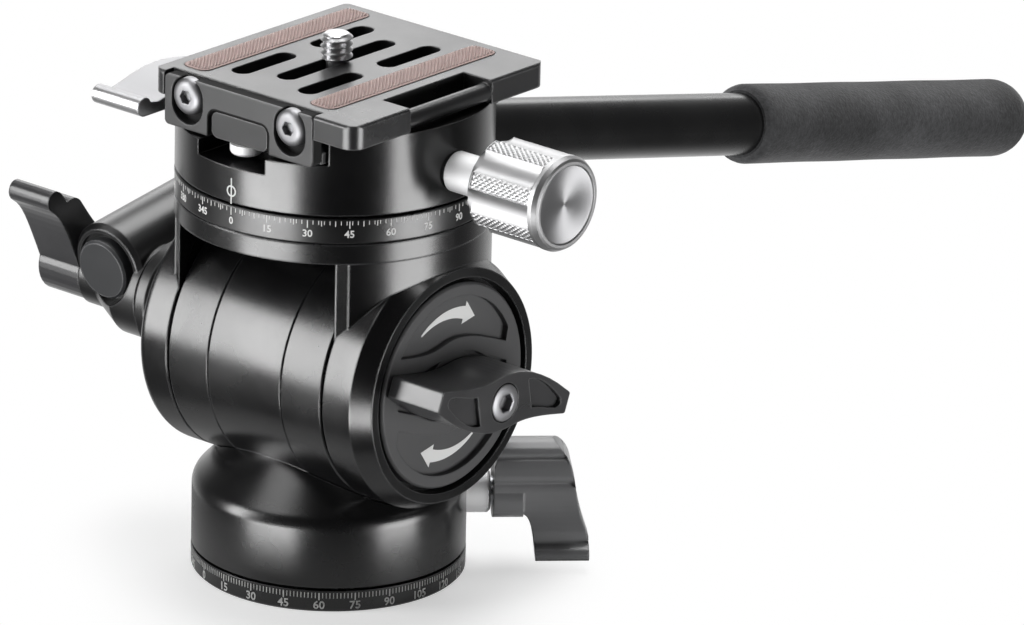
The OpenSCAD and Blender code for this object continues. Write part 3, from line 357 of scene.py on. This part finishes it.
base_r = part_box("base_plate")[1].x
lower_zero = math.radians(-22)
lower_rings = (240, 0.0029, 0.0011, 0.00017, 0.00006), (24, 0.0025, 0.0015, 0.00024, 0.00008)
lower_scale = scale_print(base_r, lower_zero, lower_rings, figure_size=0.0023, figure_z=0.0014)
joined("base_scale_print", lower_scale, print_white, "base")


# Pan housing with the fixed middle of the drum, and a drag ring on each side of it.
# All three are turned from bar, blasted and anodised black; the seams between them stay open.
housing_anodised = finish("housing_anodised", deep_black, edge_grey, 0.25, grain=5600.0, specular=0.9)
dress(housing_anodised, "pan_housing")
ring_anodised = finish("ring_anodised", deep_black, edge_grey, 0.26, specular=0.9)
dress(ring_anodised, "drag_ring_left", "drag_ring_right")


# Inner works: hardened shafts and pins, bronze bushes and brake shoes, white acetal washers.
# They show only through gaps and from below, but each has its own metal or plastic.
ground_steel = finish("ground_steel", (0.52, 0.53, 0.55), (0.75, 0.75, 0.76), 0.28, metal=1.0, grain=3000.0,
                      bump=0.05, vary=0.12)
dress(ground_steel, "thread_insert", "pan_brake_disc", "tilt_shaft", "damper_rotor_left", "damper_rotor_right",
      "top_spindle", "spindle_cap", "handle_bolt", "jaw_guide_pins", "lever_pin", "pan_lock_screw")
oiled_bronze = finish("oiled_bronze", (0.45, 0.3, 0.13), (0.7, 0.52, 0.28), 0.38, metal=1.0, grain=3500.0, bump=0.08,
                      vary=0.3)
dress(oiled_bronze, "shaft_bush_left", "shaft_bush_right", "pan_brake_shoe", "clamp_brake_pad")
acetal = finish("acetal", (0.72, 0.72, 0.69), (0.8, 0.8, 0.78), 0.45, grain=2500.0, bump=0.05, vary=0.06)
dress(acetal, "pan_thrust_washer", "clamp_thrust_washer")
pressed_fibre = finish("pressed_fibre", (0.03, 0.03, 0.03), (0.09, 0.09, 0.09), 0.7, grain=2600.0, bump=0.4)
dress(pressed_fibre, "friction_washer")


# Pan lock: a bright turned collar on the housing's wall and a wing lever on its screw.
# The lever is die-cast in the same satin black as the other levers and rubs pale on its corners; its lighter grey is
# painted light, for the stronger light that falls on it.
# Its shallow finger ridges are cut into a copy of the CAD lever, which takes that lever's place.
bright_turned = finish("bright_turned", (0.95, 0.95, 0.955), (0.97, 0.97, 0.97), 0.72, metal=1.0, grain=2400.0,
                       bump=0.04, vary=0.08)
dress(bright_turned, "pan_lock_collar")
# Painted light: a lighter grey than the black of the other levers.
lock_lit_satin = finish("lock_lit_satin", (0.19, 0.191, 0.196), (0.36, 0.36, 0.36), 0.34, grain=4200.0, bump=0.06,
                    radius=0.0006, specular=0.9)
lock_low, lock_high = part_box("pan_lock_lever")
lock_front = Vector((math.sqrt(0.5), -math.sqrt(0.5), 0))
lock_steps, ridge, crease, broadside = 96, 0.0011, math.radians(25), 0.6
finger_bands = (0.0, 0.12), (0.12, 0.34), (0.34, 0.86), (0.86, 1.0)
wing = bmesh.new()
wing.from_mesh(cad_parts["pan_lock_lever"].data)
bmesh.ops.remove_doubles(wing, verts=wing.verts, dist=0.000001)
for edge in wing.edges:
    edge.smooth = edge.calc_face_angle(0) < crease
for k in range(1, lock_steps):
    z = lock_high.z + (lock_low.z - lock_high.z) * k / lock_steps
    everything = wing.verts[:] + wing.edges[:] + wing.faces[:]
    bmesh.ops.bisect_plane(wing, geom=everything, plane_co=(0, 0, z), plane_no=(0, 0, 1))


def bead(share):
    """How far a finger ridge is cut in, from 0 to 1, at a share of the way down the lever."""
    for top, bottom in finger_bands:
        if share <= bottom:
            return (2 * (share - top) / (bottom - top) - 1) ** 4
    return 0.0


wing.normal_update()
shifts = {}
for vertex in wing.verts:
    leans = [f.normal.dot(lock_front) for f in vertex.link_faces]
    if max(abs(lean) for lean in leans) > broadside:
        cut = ridge * bead((lock_high.z - vertex.co.z) / (lock_high.z - lock_low.z))
        shifts[vertex] = lock_front * (-cut if sum(leans) > 0 else cut)
for vertex, shift in shifts.items():
    vertex.co += shift
for face in wing.faces:
    face.smooth = True
mesh = as_mesh(wing, "pan_lock_wing")
mesh.materials.append(lock_lit_satin)
lock_wing = add("pan_lock_wing", mesh)
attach(lock_wing, "pan_lock")
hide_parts("pan_lock_lever")


# Yoke: one machined piece of deck, arms and cheeks, in the same blasted black as the housing.
# The upper scale ring sits on its deck, with marks every two, five and fifteen degrees and figures below them.
yoke_anodised = finish("yoke_anodised", deep_black, edge_pale, 0.25, grain=5400.0, radius=0.0005, specular=0.9)
dress(yoke_anodised, "yoke")
scale_anodised = finish("scale_anodised", deep_black, (0.08, 0.08, 0.08), 0.3, grain=5000.0, specular=0.9)
dress(scale_anodised, "scale_ring")
scale_low, scale_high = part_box("scale_ring")
deck_r = scale_high.x
upper_zero = math.radians(2.2)
upper_rings = ((180, scale_high.z - 0.0012, 0.0008, 0.00015, 0.00006),
               (72, scale_high.z - 0.0015, 0.0011, 0.00018, 0.00007),
               (24, scale_high.z - 0.0019, 0.0015, 0.0002, 0.00008))
upper_scale = scale_print(deck_r, upper_zero, upper_rings, figure_size=0.002, figure_z=scale_low.z + 0.002)
joined("upper_scale_print", upper_scale, print_white, "tilt")


# Tilt cover: a round plate in the right cheek with two sunk pockets and an S-shaped rib between.
# A white arrow in each pocket shows which way the lever tightens and loosens.
cover_black = finish("cover_black", (0.075, 0.075, 0.077), (0.14, 0.14, 0.145), 0.5, grain=4600.0, radius=0.0005)
dress(cover_black, "tilt_cover")
cover_low, cover_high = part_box("tilt_cover")
tilt_z = (cover_low.z + cover_high.z) / 2
pocket_depth, arrow_rise, arrow_thick = 0.0013, 0.00004, 0.0001
sunk_face = cover_high.x - pocket_depth


def skin(shape, rows):
    """Joins closed rings of points, one after the other, by four-sided faces and returns them."""
    faces = []
    for low, high in zip(rows, rows[1:]):
        for i in range(len(low)):
            after = (i + 1) % len(low)
            faces.append(shape.faces.new((low[i], low[after], high[after], high[i])))
    return faces


def curved_arrow(radius, start, stop, tail, wide, head):
    """A tapering band round the tilt axis from start to stop, with a pointed head, as a thin plate."""
    steps = 14
    along = [start + (stop - start) * i / steps for i in range(steps + 1)]
    widths = [tail + (wide - tail) * i / steps for i in range(steps + 1)]
    outline = [(a, radius + w / 2) for a, w in zip(along, widths)]
    way = 1 if stop > start else -1
    outline += [(stop, radius + head), (stop + way * 1.5 * head / radius, radius), (stop, radius - head)]
    outline += [(a, radius - w / 2) for a, w in zip(reversed(along), reversed(widths))]
    plate = bmesh.new()
    rims = [[plate.verts.new((x, r * math.cos(a), tilt_z + r * math.sin(a))) for a, r in outline]
            for x in (sunk_face + arrow_rise, sunk_face + arrow_rise - arrow_thick)]
    skin(plate, rims)
    for rim in rims:
        plate.faces.new(rim)
    bmesh.ops.recalc_face_normals(plate, faces=plate.faces)
    bmesh.ops.triangulate(plate, faces=plate.faces)
    return as_mesh(plate, "arrow")


arrows = [curved_arrow(radius=0.0143, start=math.radians(turn + 124), stop=math.radians(turn + 72),
                       tail=0.0004, wide=0.0026, head=0.0023) for turn in (0, 180)]
arrow_ink = (0.86, 0.86, 0.85)
arrow_white = finish("arrow_white", arrow_ink, arrow_ink, 0.5, grain=9000.0, bump=0.2, vary=0.08, radius=0.00002)
joined("tilt_arrows", arrows, arrow_white, "tilt")


# Tilt lever: a cast S-shaped bar with two wings, held on the shaft by a bright socket screw.
# It has a smooth satin black paint that rubs pale on its corners.
lever_satin = finish("lever_satin", (0.035, 0.035, 0.037), (0.2, 0.2, 0.2), 0.3, grain=4200.0, bump=0.06,
                     radius=0.0005, specular=0.9)
dress(lever_satin, "tilt_lever")


def socket_screw(name, head_r, socket_r, height, depth, place, dome):
    """A screw head seen from its top: a turned dome with a hexagon socket; place maps (x, y, z) to the object."""
    sides, dome_in, mouth_wide, mouth_deep, sixth = 48, 0.45, 1.12, 0.00012, math.pi / 6
    shape = bmesh.new()
    shoulder = height * (1 - dome)
    profile = [(head_r, 0.0), (head_r, shoulder)]
    profile += [(head_r * (1 - dome_in * (1 - math.cos(t))), shoulder + height * dome * math.sin(t))
                for t in (0.4, 0.8, 1.2, 1.5)]
    rows = [[shape.verts.new((x, y, z)) for x, y in circle(r, sides)] for r, z in profile]
    for z, grow in ((height, mouth_wide), (height - mouth_deep, 1.0), (height - depth, 1.0)):
        ring = []
        for i in range(sides):
            a = 2 * math.pi * i / sides
            r = socket_r * grow * (math.cos(sixth) / math.cos((a % (2 * sixth)) - sixth))
            ring.append(shape.verts.new((r * math.cos(a), r * math.sin(a), z)))
        rows.append(ring)
    skin(shape, rows)
    shape.faces.new(rows[-1])
    shape.faces.new(rows[0])
    bmesh.ops.recalc_face_normals(shape, faces=shape.faces)
    for face in shape.faces:
        face.smooth = True
    mesh = as_mesh(shape, name)
    mesh.set_sharp_from_angle(angle=math.radians(32))
    for vertex in mesh.vertices:
        vertex.co = place(*vertex.co)
    return mesh


screw_low, screw_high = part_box("tilt_lever_screw")
button_r = 0.00375
screw_steel = finish("screw_steel", (0.32, 0.32, 0.33), (0.5, 0.5, 0.5), 0.46, metal=1.0, grain=2600.0, bump=0.05,
                     vary=0.1, radius=0.0002)
lever_head = socket_screw("lever_screw", button_r, socket_r=0.0019, height=screw_high.x - screw_low.x, depth=0.0016,
                          place=lambda x, y, z: Vector((screw_low.x + z, x, tilt_z + y)), dome=0.2)
lever_screw = joined("tilt_lever_socket_screw", [lever_head], screw_steel, "tilt_lock")
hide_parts("tilt_lever_screw")


# Handle socket: the boss on the left cheek, the cross block that grips the tube, and its front plug.
# A wing lever on the left clamps the block against a fibre washer at any angle.
socket_anodised = finish("socket_anodised", deep_black, edge_pale, 0.3, radius=0.0005, specular=0.9)
dress(socket_anodised, "handle_boss", "handle_block")
# The plug's pale chamfer colour is a painted highlight.
plug_satin = finish("plug_satin", (0.03, 0.031, 0.033), (0.4, 0.4, 0.41), 0.42, grain=4800.0, radius=0.0004)
dress(plug_satin, "handle_plug")
dress(lever_satin, "handle_lever")


# Handle tube: drawn aluminium, bent once near the head and anodised in a smooth black.
# A closed-cell foam sleeve is pushed over its far end.
tube_anodised = finish("tube_anodised", (0.004, 0.004, 0.0043), (0.1, 0.1, 0.1), 0.27, grain=2600.0, bump=0.03,
                       specular=0.8)
dress(tube_anodised, "handle_tube")


# Foam grip: a charcoal closed-cell sleeve with a round end, soft to the hand.
# Its skin shows fine pores and a mottled tone, and its width swells slightly along its length.
foam_dark, foam_pale = (0.02, 0.02, 0.021, 1), (0.085, 0.086, 0.09, 1)
foam_skin = bpy.data.materials.new("foam_skin")
tree = bare_tree(foam_skin)
pores = put(tree, "ShaderNodeTexVoronoi", {"Vector": coords(tree), "Scale": 1500.0})
crumbs, clouds = noise(tree, 900.0, 5.0, 0.7), noise(tree, 60.0, 3.0)
cells = calc(tree, "MULTIPLY", pores.outputs["Distance"], crumbs)
mottle = ramp(tree, calc(tree, "MULTIPLY", crumbs, clouds), 0.12, 0.42)
relief = put(tree, "ShaderNodeBump", {"Strength": 0.55, "Distance": 0.0003, "Height": cells})
shader = put(tree, "ShaderNodeBsdfPrincipled", {
    "Base Color": mix_colours(tree, mottle, foam_dark, foam_pale), "Roughness": 0.85, "Specular IOR Level": 0.35,
    "Sheen Weight": 0.25, "Sheen Roughness": 0.5, "Normal": relief.outputs[0]})
put(tree, "ShaderNodeOutputMaterial", {"Surface": shader.outputs[0]})

grip_x, grip_r, grip_l, fall = -0.0525, 0.0086, 0.101, math.radians(12.9)
end_play, mouth_r, mouth_flat, lip, flank_start = 0.002, 0.0069, 0.0073, 0.0018, 0.004
flank_rows, swell, swell_turns, sides = 30, 0.00008, 9.4, 64
grip_low, grip_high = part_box("handle_grip")
down = Vector((0, math.cos(fall), -math.sin(fall)))
aside, across = Vector((1, 0, 0)), Vector((0, math.sin(fall), math.cos(fall)))
start = Vector((grip_x, grip_high.y - grip_r, grip_low.z + grip_r)) - down * (grip_l - grip_r)
flank = grip_l - end_play - grip_r
profile = [(0.0, mouth_r), (0.0, mouth_flat)]
profile += [(lip * (1 - math.cos(t)), grip_r - lip + lip * math.sin(t)) for t in (0.3, 0.7, 1.1, 1.57)]
profile += [(flank_start + (flank - flank_start) * i / flank_rows,
             grip_r - swell * math.sin(swell_turns * i / flank_rows) ** 2) for i in range(flank_rows + 1)]
profile += [(flank + grip_r * math.sin(t), grip_r * math.cos(t)) for t in [0.13 * k for k in range(1, 12)]]
sleeve = bmesh.new()
rows = [[sleeve.verts.new(start + down * along + r * (c * aside + s * across)) for c, s in circle(1.0, sides)]
        for along, r in profile]
skin(sleeve, rows)
sleeve.faces.new(rows[0])
point = sleeve.verts.new(start + down * (flank + grip_r))
for i in range(sides):
    sleeve.faces.new((rows[-1][i], rows[-1][(i + 1) % sides], point))
bmesh.ops.recalc_face_normals(sleeve, faces=sleeve.faces)
for face in sleeve.faces:
    face.smooth = True
mesh = as_mesh(sleeve, "foam_grip")
mesh.set_sharp_from_angle(angle=math.radians(50))
mesh.materials.append(foam_skin)
grip = add("foam_grip", mesh)
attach(grip, "handle")
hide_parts("handle_grip")


# Panning clamp: a round black body with a fixed jaw, a moving jaw and a bright cam lever that closes it.
# The lever's bar is polished and its flat top is blasted dull; the top's slightly darker grey is painted shade that
# keeps it from burning white under the lamps above.
# A white ring with a stroke through it on the front is the index for the scale below.
clamp_anodised = finish("clamp_anodised", deep_black, edge_pale, 0.24, radius=0.0004, specular=0.9)
dress(clamp_anodised, "clamp_body", "moving_jaw")


def shader_of(mat):
    return next(n for n in mat.node_tree.nodes if n.type == "BSDF_PRINCIPLED")


def tint(mat, mask, colour):
    """Lays a colour over a finish where mask is 1."""
    base = shader_of(mat).inputs["Base Color"]
    mat.node_tree.links.new(mix_colours(mat.node_tree, mask, base.links[0].from_socket, colour), base)


def roughen(mat, least):
    """Makes a finish at least as rough as the value says."""
    rough = shader_of(mat).inputs["Roughness"]
    mat.node_tree.links.new(calc(mat.node_tree, "MAXIMUM", rough.links[0].from_socket, least), rough)


release_satin = finish("release_satin", (0.66, 0.66, 0.67), (0.85, 0.85, 0.85), 0.36, metal=1.0, grain=3800.0,
                       bump=0.05, vary=0.1, radius=0.0006)
top_shade_grey, blasted_rough = (0.62, 0.62, 0.63, 1), 0.75
tree = release_satin.node_tree
flat_top = ramp(tree, axes_of(tree, coords(tree, "Normal"))[2], 0.75, 0.95)
# Painted shade: faces that point up get a slightly darker grey, and their rougher blast is real.
tint(release_satin, flat_top, top_shade_grey)
roughen(release_satin, calc(tree, "MULTIPLY", flat_top, blasted_rough))
dress(release_satin, "release_lever")

index_z, index_in, index_out, stroke_w, stroke_l, sides = 0.0852, 0.00085, 0.00115, 0.00014, 0.0026, 40
sunk_ink, ring_ink, stroke_ink = -0.00003, 0.00004, 0.00005
index_wall = round_wall(deck_r, upper_zero, index_z)
index = bmesh.new()
rims = [[index.verts.new(index_wall(x, y, z)) for x, y in circle(r, sides)] for r, z in
        ((index_in, sunk_ink), (index_in, ring_ink), (index_out, ring_ink), (index_out, sunk_ink))]
skin(index, rims + rims[:1])
corners = [index.verts.new(index_wall(x * stroke_w, y * stroke_l, z)) for z in (sunk_ink, stroke_ink)
           for x, y in ((-1, -1), (1, -1), (1, 1), (-1, 1))]
for box_face in ((0, 1, 2, 3), (4, 5, 6, 7), (0, 1, 5, 4), (1, 2, 6, 5), (2, 3, 7, 6), (3, 0, 4, 7)):
    index.faces.new([corners[i] for i in box_face])
joined("index_mark", [as_mesh(index, "index_mark")], print_white, "top_pan")


# Lock knob: turned aluminium with seven smooth flutes and a diamond knurl on the lands between.
# The end is dished on the lathe, so its fine rings throw fan-shaped reflections.
knob_low, knob_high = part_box("lock_knob")
knob_r, knob_z = 0.0094, (knob_low.z + knob_high.z) / 2
knob_back, knob_end = knob_low.x, knob_high.x
flutes, flute_r, flute_depth, flute_turn = 7, 0.004, 0.0013, math.radians(6)
flute_c = knob_r + flute_r - flute_depth
flute_end, flute_ease, land_margin = 0.0021, 0.0007, 0.00002
knurl_pitch, knurl_depth, knurl_slope, knurl_from, knurl_to = 0.00105, 0.00024, 0.8, 0.0014, 0.0023


def land_or_flute(angle, x):
    """Radius of the knob's side at an angle from -Y, at a place along its length."""
    step = 2 * math.pi / flutes
    off = (angle + flute_turn + step / 2) % step - step / 2
    inside = flute_r ** 2 - (flute_c * math.sin(off)) ** 2
    side = knob_r
    if inside > 0:
        cut = flute_c * math.cos(off) - math.sqrt(inside)
        ease = min(1.0, max(0.0, (knob_end - flute_end - x) / flute_ease))
        side = min(knob_r, knob_r + (cut - knob_r) * ease * (2 - ease))
    if side > knob_r - land_margin and knob_back + knurl_from < x < knob_end - knurl_to:
        a = (angle * knob_r + x * knurl_slope) / knurl_pitch
        b = (angle * knob_r - x * knurl_slope) / knurl_pitch
        side -= knurl_depth * max(abs(a % 1 - 0.5), abs(b % 1 - 0.5)) * 2
    return side


sides, knob_rows, knob_bore, knob_bevel = 448, 110, 0.0045, 0.0012
around = [2 * math.pi * i / sides for i in range(sides)]
lengths = [knob_back + knob_bevel + (knob_end - knob_back - 2 * knob_bevel) * i / knob_rows
           for i in range(knob_rows + 1)]
rim_steps = (0.0005, 0.0003), (0.001, 0.0), (0.0015, 0.0), (0.0018, 0.00025)
dish_steps = (0.006, 0.0005), (0.0038, 0.00065), (0.0016, 0.00078), (0.0003, 0.0008)
knob = bmesh.new()


def knob_ring(x, radius):
    return [knob.verts.new((x, -radius(a) * math.cos(a), knob_z + radius(a) * math.sin(a))) for a in around]


rows = [knob_ring(knob_back, lambda a: knob_bore),
        knob_ring(knob_back, lambda a: min(land_or_flute(a, knob_back), knob_r - knob_bevel))]
rows += [knob_ring(x, lambda a, x=x: land_or_flute(a, x)) for x in lengths]
rows += [knob_ring(knob_end - sink, lambda a, inset=inset: knob_r - inset) for inset, sink in rim_steps]
side_faces = (len(rows) - 1) * sides
rows += [knob_ring(knob_end - sink, lambda a, r=r: r) for r, sink in dish_steps]
for number, face in enumerate(skin(knob, rows)):
    face.material_index = int(number >= side_faces)
    face.smooth = True
knob.faces.new(rows[0])
knob.faces.new(rows[-1]).material_index = 1
bmesh.ops.recalc_face_normals(knob, faces=knob.faces)
mesh = as_mesh(knob, "knurled_knob")
mesh.set_sharp_from_angle(angle=math.radians(28))
knob_silver = finish("knob_silver", (0.46, 0.46, 0.465), (0.7, 0.7, 0.7), 0.44, metal=1.0, grain=2600.0, bump=0.05,
                     vary=0.1, radius=0.0001)
knob_face = finish("knob_face", (0.46, 0.46, 0.47), (0.75, 0.75, 0.75), 0.42, metal=1.0, grain=2600.0, bump=0.03,
                   vary=0.06, radius=0.0001)
shader = shader_of(knob_face)
shader.inputs["Anisotropic"].default_value = 0.7
lathe = put(knob_face.node_tree, "ShaderNodeTangent", direction_type="RADIAL", axis="X")
knob_face.node_tree.links.new(lathe.outputs[0], shader.inputs["Tangent"])
mesh.materials.append(knob_silver)
mesh.materials.append(knob_face)
knurled = add("knurled_knob", mesh)
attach(knurled, "pan_knob")
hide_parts("lock_knob")
dress(bright_turned, "knob_stem")


# Quick-release plate: milled flat, blasted and anodised; the pale colour on its edge chamfers is a painted highlight.
# The fence on its front slides in two slots and is held by two button-head screws.
plate_anodised = finish("plate_anodised", (0.02, 0.02, 0.021), (0.4, 0.4, 0.405), 0.3, radius=0.0005, specular=0.9)
dress(plate_anodised, "qr_plate", "screw_washer")
fence_anodised = finish("fence_anodised", (0.035, 0.035, 0.036), (0.14, 0.14, 0.145), 0.34, radius=0.0004,
                        specular=0.9)
dress(fence_anodised, "fence")

# The screws' sunk slots and the gap round the plate's tongue are painted dull black: painted shade for the shadow
# deep in them.
# The group gives the distance from an upright tongue's outline, negative inside it.
gap_group, entry = node_group("tongue_reach", "ShaderNodeTree", {"Half": "Float", "Top": "Float", "Bend": "Float"},
                              {"Reach": "Float"})
axes = axes_of(gap_group, coords(gap_group))
from_side = calc(gap_group, "SUBTRACT", calc(gap_group, "ABSOLUTE", axes[0]), entry["Half"])
from_top = calc(gap_group, "SUBTRACT", axes[2], entry["Top"])
bend = vector_of(gap_group, entry["Bend"], entry["Bend"])
corner = vector_calc(gap_group, "ADD", vector_of(gap_group, from_side, from_top), bend)
past = vector_calc(gap_group, "LENGTH", vector_calc(gap_group, "MAXIMUM", corner, (0, 0, 0)))
put(gap_group, "NodeGroupOutput", {"Reach": calc(gap_group, "SUBTRACT", past, entry["Bend"])})


def reach(tree, outline):
    return put(tree, "ShaderNodeGroup", outline, node_tree=gap_group).outputs[0]


def soil(mat, shaded):
    """Paints shade: turns a finish dull black where shaded is 1."""
    tint(mat, shaded, (0.001, 0.001, 0.001, 1))
    roughen(mat, shaded)


fence_low, fence_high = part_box("fence")
notch_top = fence_high.z - 0.0046
notch = {"Half": 0.0078, "Top": notch_top, "Bend": 0.002}
tongue = {"Half": 0.0072, "Top": notch_top - 0.0003, "Bend": 0.0016}
slot_sunk, notch_rim, plate_front, gap_outer, gap_inner = 0.0004, 0.0003, 0.0006, 0.0004, -0.0001
tree = fence_anodised.node_tree
sunk = calc(tree, "GREATER_THAN", axes_of(tree, coords(tree))[1], fence_low.y + slot_sunk)
beside = calc(tree, "LESS_THAN", reach(tree, notch), notch_rim)
# Painted shade: the fence's sunk slot floors and the rim round its notch turn dull black.
soil(fence_anodised, calc(tree, "MAXIMUM", sunk, beside))
tree = plate_anodised.node_tree
front = calc(tree, "LESS_THAN", axes_of(tree, coords(tree))[1], fence_high.y + plate_front)
within = calc(tree, "LESS_THAN", reach(tree, notch), gap_outer)
outside = calc(tree, "GREATER_THAN", reach(tree, tongue), gap_inner)
# Painted shade in the gap round the tongue, on the plate's front.
soil(plate_anodised, calc(tree, "MULTIPLY", calc(tree, "MULTIPLY", front, within), outside))
dress(bright_turned, "stop_screws")
heads_low, heads_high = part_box("fence_screws")
head_z, head_x, head_h = (heads_low.z + heads_high.z) / 2, heads_high.x - button_r, 0.0022
buttons = [socket_screw("button", button_r, socket_r=0.0014, height=head_h, depth=0.0012, dome=0.6,
                        place=lambda x, y, z, at=at: Vector((at + x, heads_low.y + head_h - z, head_z + y)))
           for at in (-head_x, head_x)]
button_heads = joined("fence_button_screws", buttons, screw_steel, "plate")
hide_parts("fence_screws")


# Grip pads: two strips of brown rubber let into the plate, with a close pattern of raised points.
# The points keep a camera from turning on its screw, and their tips are coloured paler than the rubber around them.
pad_rubber = finish("pad_rubber", (0.42, 0.3, 0.28), (0.55, 0.42, 0.39), 0.62, grain=2200.0, bump=0.25, vary=0.35,
                    radius=0.0002)
pad_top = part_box("plate_pad_left")[1].z
pad_sink, tip_sink, tip_pale = 0.00018, 0.00002, (0.78, 0.64, 0.61, 1)
tree = pad_rubber.node_tree
tint(pad_rubber, ramp(tree, axes_of(tree, coords(tree))[2], pad_top - pad_sink, pad_top - tip_sink), tip_pale)

# One tree makes a pad: a strip with round corners and staggered rows of small cones that keep inside its outline.
stud_tree, entry = node_group("pad_points", "GeometryNodeTree", {
    "Geometry": "Geometry", "Foot": "Vector", "Wide": "Float", "Long": "Float", "Thick": "Float", "Corner": "Float",
    "Across": "Int", "Along": "Int", "Point": "Float", "Rise": "Float", "Material": "Material"},
    {"Geometry": "Geometry"})
stud_margin, stud_sides, stud_tip, corner_steps = 0.0007, 6, 0.00012, 6
outline = put(stud_tree, "GeometryNodeCurvePrimitiveQuadrilateral", {"Width": entry["Wide"], "Height": entry["Long"]})
eased = put(stud_tree, "GeometryNodeFilletCurve", {"Curve": outline.outputs[0], "Radius": entry["Corner"],
                                                   "Count": corner_steps}, mode="POLY")
sheet = put(stud_tree, "GeometryNodeFillCurve", {"Curve": eased.outputs[0]}, mode="NGONS")
lift = vector_of(stud_tree, 0, 0, entry["Thick"])
strip = put(stud_tree, "GeometryNodeExtrudeMesh", {"Mesh": sheet.outputs[0], "Offset": lift, "Individual": False})
under = put(stud_tree, "GeometryNodeFlipFaces", {"Mesh": sheet.outputs[0]})
inner_w = calc(stud_tree, "SUBTRACT", entry["Wide"], stud_margin)
inner_l = calc(stud_tree, "SUBTRACT", entry["Long"], stud_margin)
lattice = put(stud_tree, "GeometryNodeMeshGrid", {"Size X": inner_w, "Size Y": inner_l, "Vertices X": entry["Across"],
                                                  "Vertices Y": entry["Along"]})
stud = put(stud_tree, "GeometryNodeMeshCone", {"Vertices": stud_sides, "Radius Top": stud_tip, "Depth": entry["Rise"],
                                               "Radius Bottom": entry["Point"]}, fill_type="NGON")
row_no = calc(stud_tree, "MODULO", put(stud_tree, "GeometryNodeInputIndex").outputs[0], entry["Along"])
odd = calc(stud_tree, "MODULO", row_no, 2.0)
shift = calc(stud_tree, "MULTIPLY", odd, calc(stud_tree, "DIVIDE", inner_w, entry["Across"]))
stagger = vector_of(stud_tree, calc(stud_tree, "MULTIPLY", shift, 0.5))
staggered = put(stud_tree, "GeometryNodeSetPosition", {"Geometry": lattice.outputs["Mesh"], "Offset": stagger})
apart = vector_calc(stud_tree, "ABSOLUTE", put(stud_tree, "GeometryNodeInputPosition").outputs[0])
half_away = put(stud_tree, "ShaderNodeVectorMath", {0: vector_of(stud_tree, inner_w, inner_l), "Scale": -0.5},
                operation="SCALE")
bend = vector_of(stud_tree, entry["Corner"], entry["Corner"])
into = vector_calc(stud_tree, "ADD", vector_calc(stud_tree, "ADD", apart, half_away.outputs[0]), bend)
off_corner = vector_calc(stud_tree, "LENGTH", vector_calc(stud_tree, "MAXIMUM", into, (0, 0, 0)))
inside = calc(stud_tree, "LESS_THAN", off_corner, entry["Corner"])
studs = put(stud_tree, "GeometryNodeInstanceOnPoints", {"Points": staggered.outputs[0], "Selection": inside,
                                                        "Instance": stud.outputs["Mesh"]})
raised = put(stud_tree, "GeometryNodeTransform", {"Geometry": studs.outputs[0], "Translation": lift})
whole_pad = put(stud_tree, "GeometryNodeJoinGeometry")
for part in (strip, under, raised):
    stud_tree.links.new(part.outputs[0], whole_pad.inputs[0])
placed = put(stud_tree, "GeometryNodeTransform", {"Geometry": whole_pad.outputs[0], "Translation": entry["Foot"]})
end_tree(stud_tree, placed.outputs[0], entry["Material"])
for side in ("left", "right"):
    low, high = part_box("plate_pad_" + side)
    strip_mesh = grown("pad", stud_tree, {
        "Foot": ((low.x + high.x) / 2, (low.y + high.y) / 2, low.z), "Wide": high.x - low.x, "Long": high.y - low.y,
        "Thick": high.z - low.z - pad_sink, "Corner": 0.0019, "Across": 8, "Along": 96, "Point": 0.0003,
        "Rise": 0.00034, "Material": pad_rubber})
    pad = joined("grip_pad_" + side, [strip_mesh], pad_rubber, "plate")
    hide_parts("plate_pad_" + side)


# Camera screw: bright steel, with a rolled quarter-inch thread above the plate.
# A washer under the plate keeps it in its slot, and its flat head is turned from below.
screw_low, screw_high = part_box("camera_screw")
plate_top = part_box("qr_plate")[1].z
thread_r, thread_pitch, thread_depth, thread_rows, sides = 0.003175, 0.00127, 0.0007, 60, 72
head_r, neck_r, tip_r, end_gap, washer_gap = 0.006, 0.00205, 0.0022, 0.0003, 0.00005
flank_slope, crest_flat, root_gain, tip_bevel, tip_slope, root_slope = 1.6, 0.05, 1.4, 0.0006, 1.2, 1.5
head_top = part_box("screw_washer")[0].z - washer_gap
z_first, z_last = plate_top + end_gap, screw_high.z - end_gap
profile = [(head_r, screw_low.z), (head_r, head_top), (neck_r, head_top), (neck_r, z_first)]
thread = bmesh.new()
rows = [[thread.verts.new((x, y, z)) for x, y in circle(r, sides)] for r, z in profile]
for k in range(thread_rows + 1):
    z = z_first + (z_last - z_first) * k / thread_rows
    tip_limit = thread_r - tip_bevel + (z_last - z) * tip_slope
    root_limit = thread_r - thread_depth + (z - z_first) * root_slope
    ring = []
    for i, (c, s) in enumerate(circle(1.0, sides)):
        wave = (z / thread_pitch - i / sides) % 1
        cut = min(1, max(0, flank_slope * abs(wave - 0.5) - crest_flat) * root_gain)
        r = min(thread_r - thread_depth * cut, tip_limit, root_limit)
        ring.append(thread.verts.new((r * c, r * s, z)))
    rows.append(ring)
rows.append([thread.verts.new((x, y, screw_high.z)) for x, y in circle(tip_r, sides)])
for face in skin(thread, rows):
    face.smooth = True
thread.faces.new(rows[0])
thread.faces.new(rows[-1])
bmesh.ops.recalc_face_normals(thread, faces=thread.faces)
mesh = as_mesh(thread, "camera_screw_threaded")
mesh.set_sharp_from_angle(angle=math.radians(40))
thread_steel = finish("thread_steel", (0.62, 0.62, 0.63), (0.8, 0.8, 0.8), 0.34, metal=1.0, grain=2600.0, bump=0.05,
                      vary=0.1, radius=0.0001)
rolled = joined("camera_screw_threaded", [mesh], thread_steel, "camera_screw")
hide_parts("camera_screw")
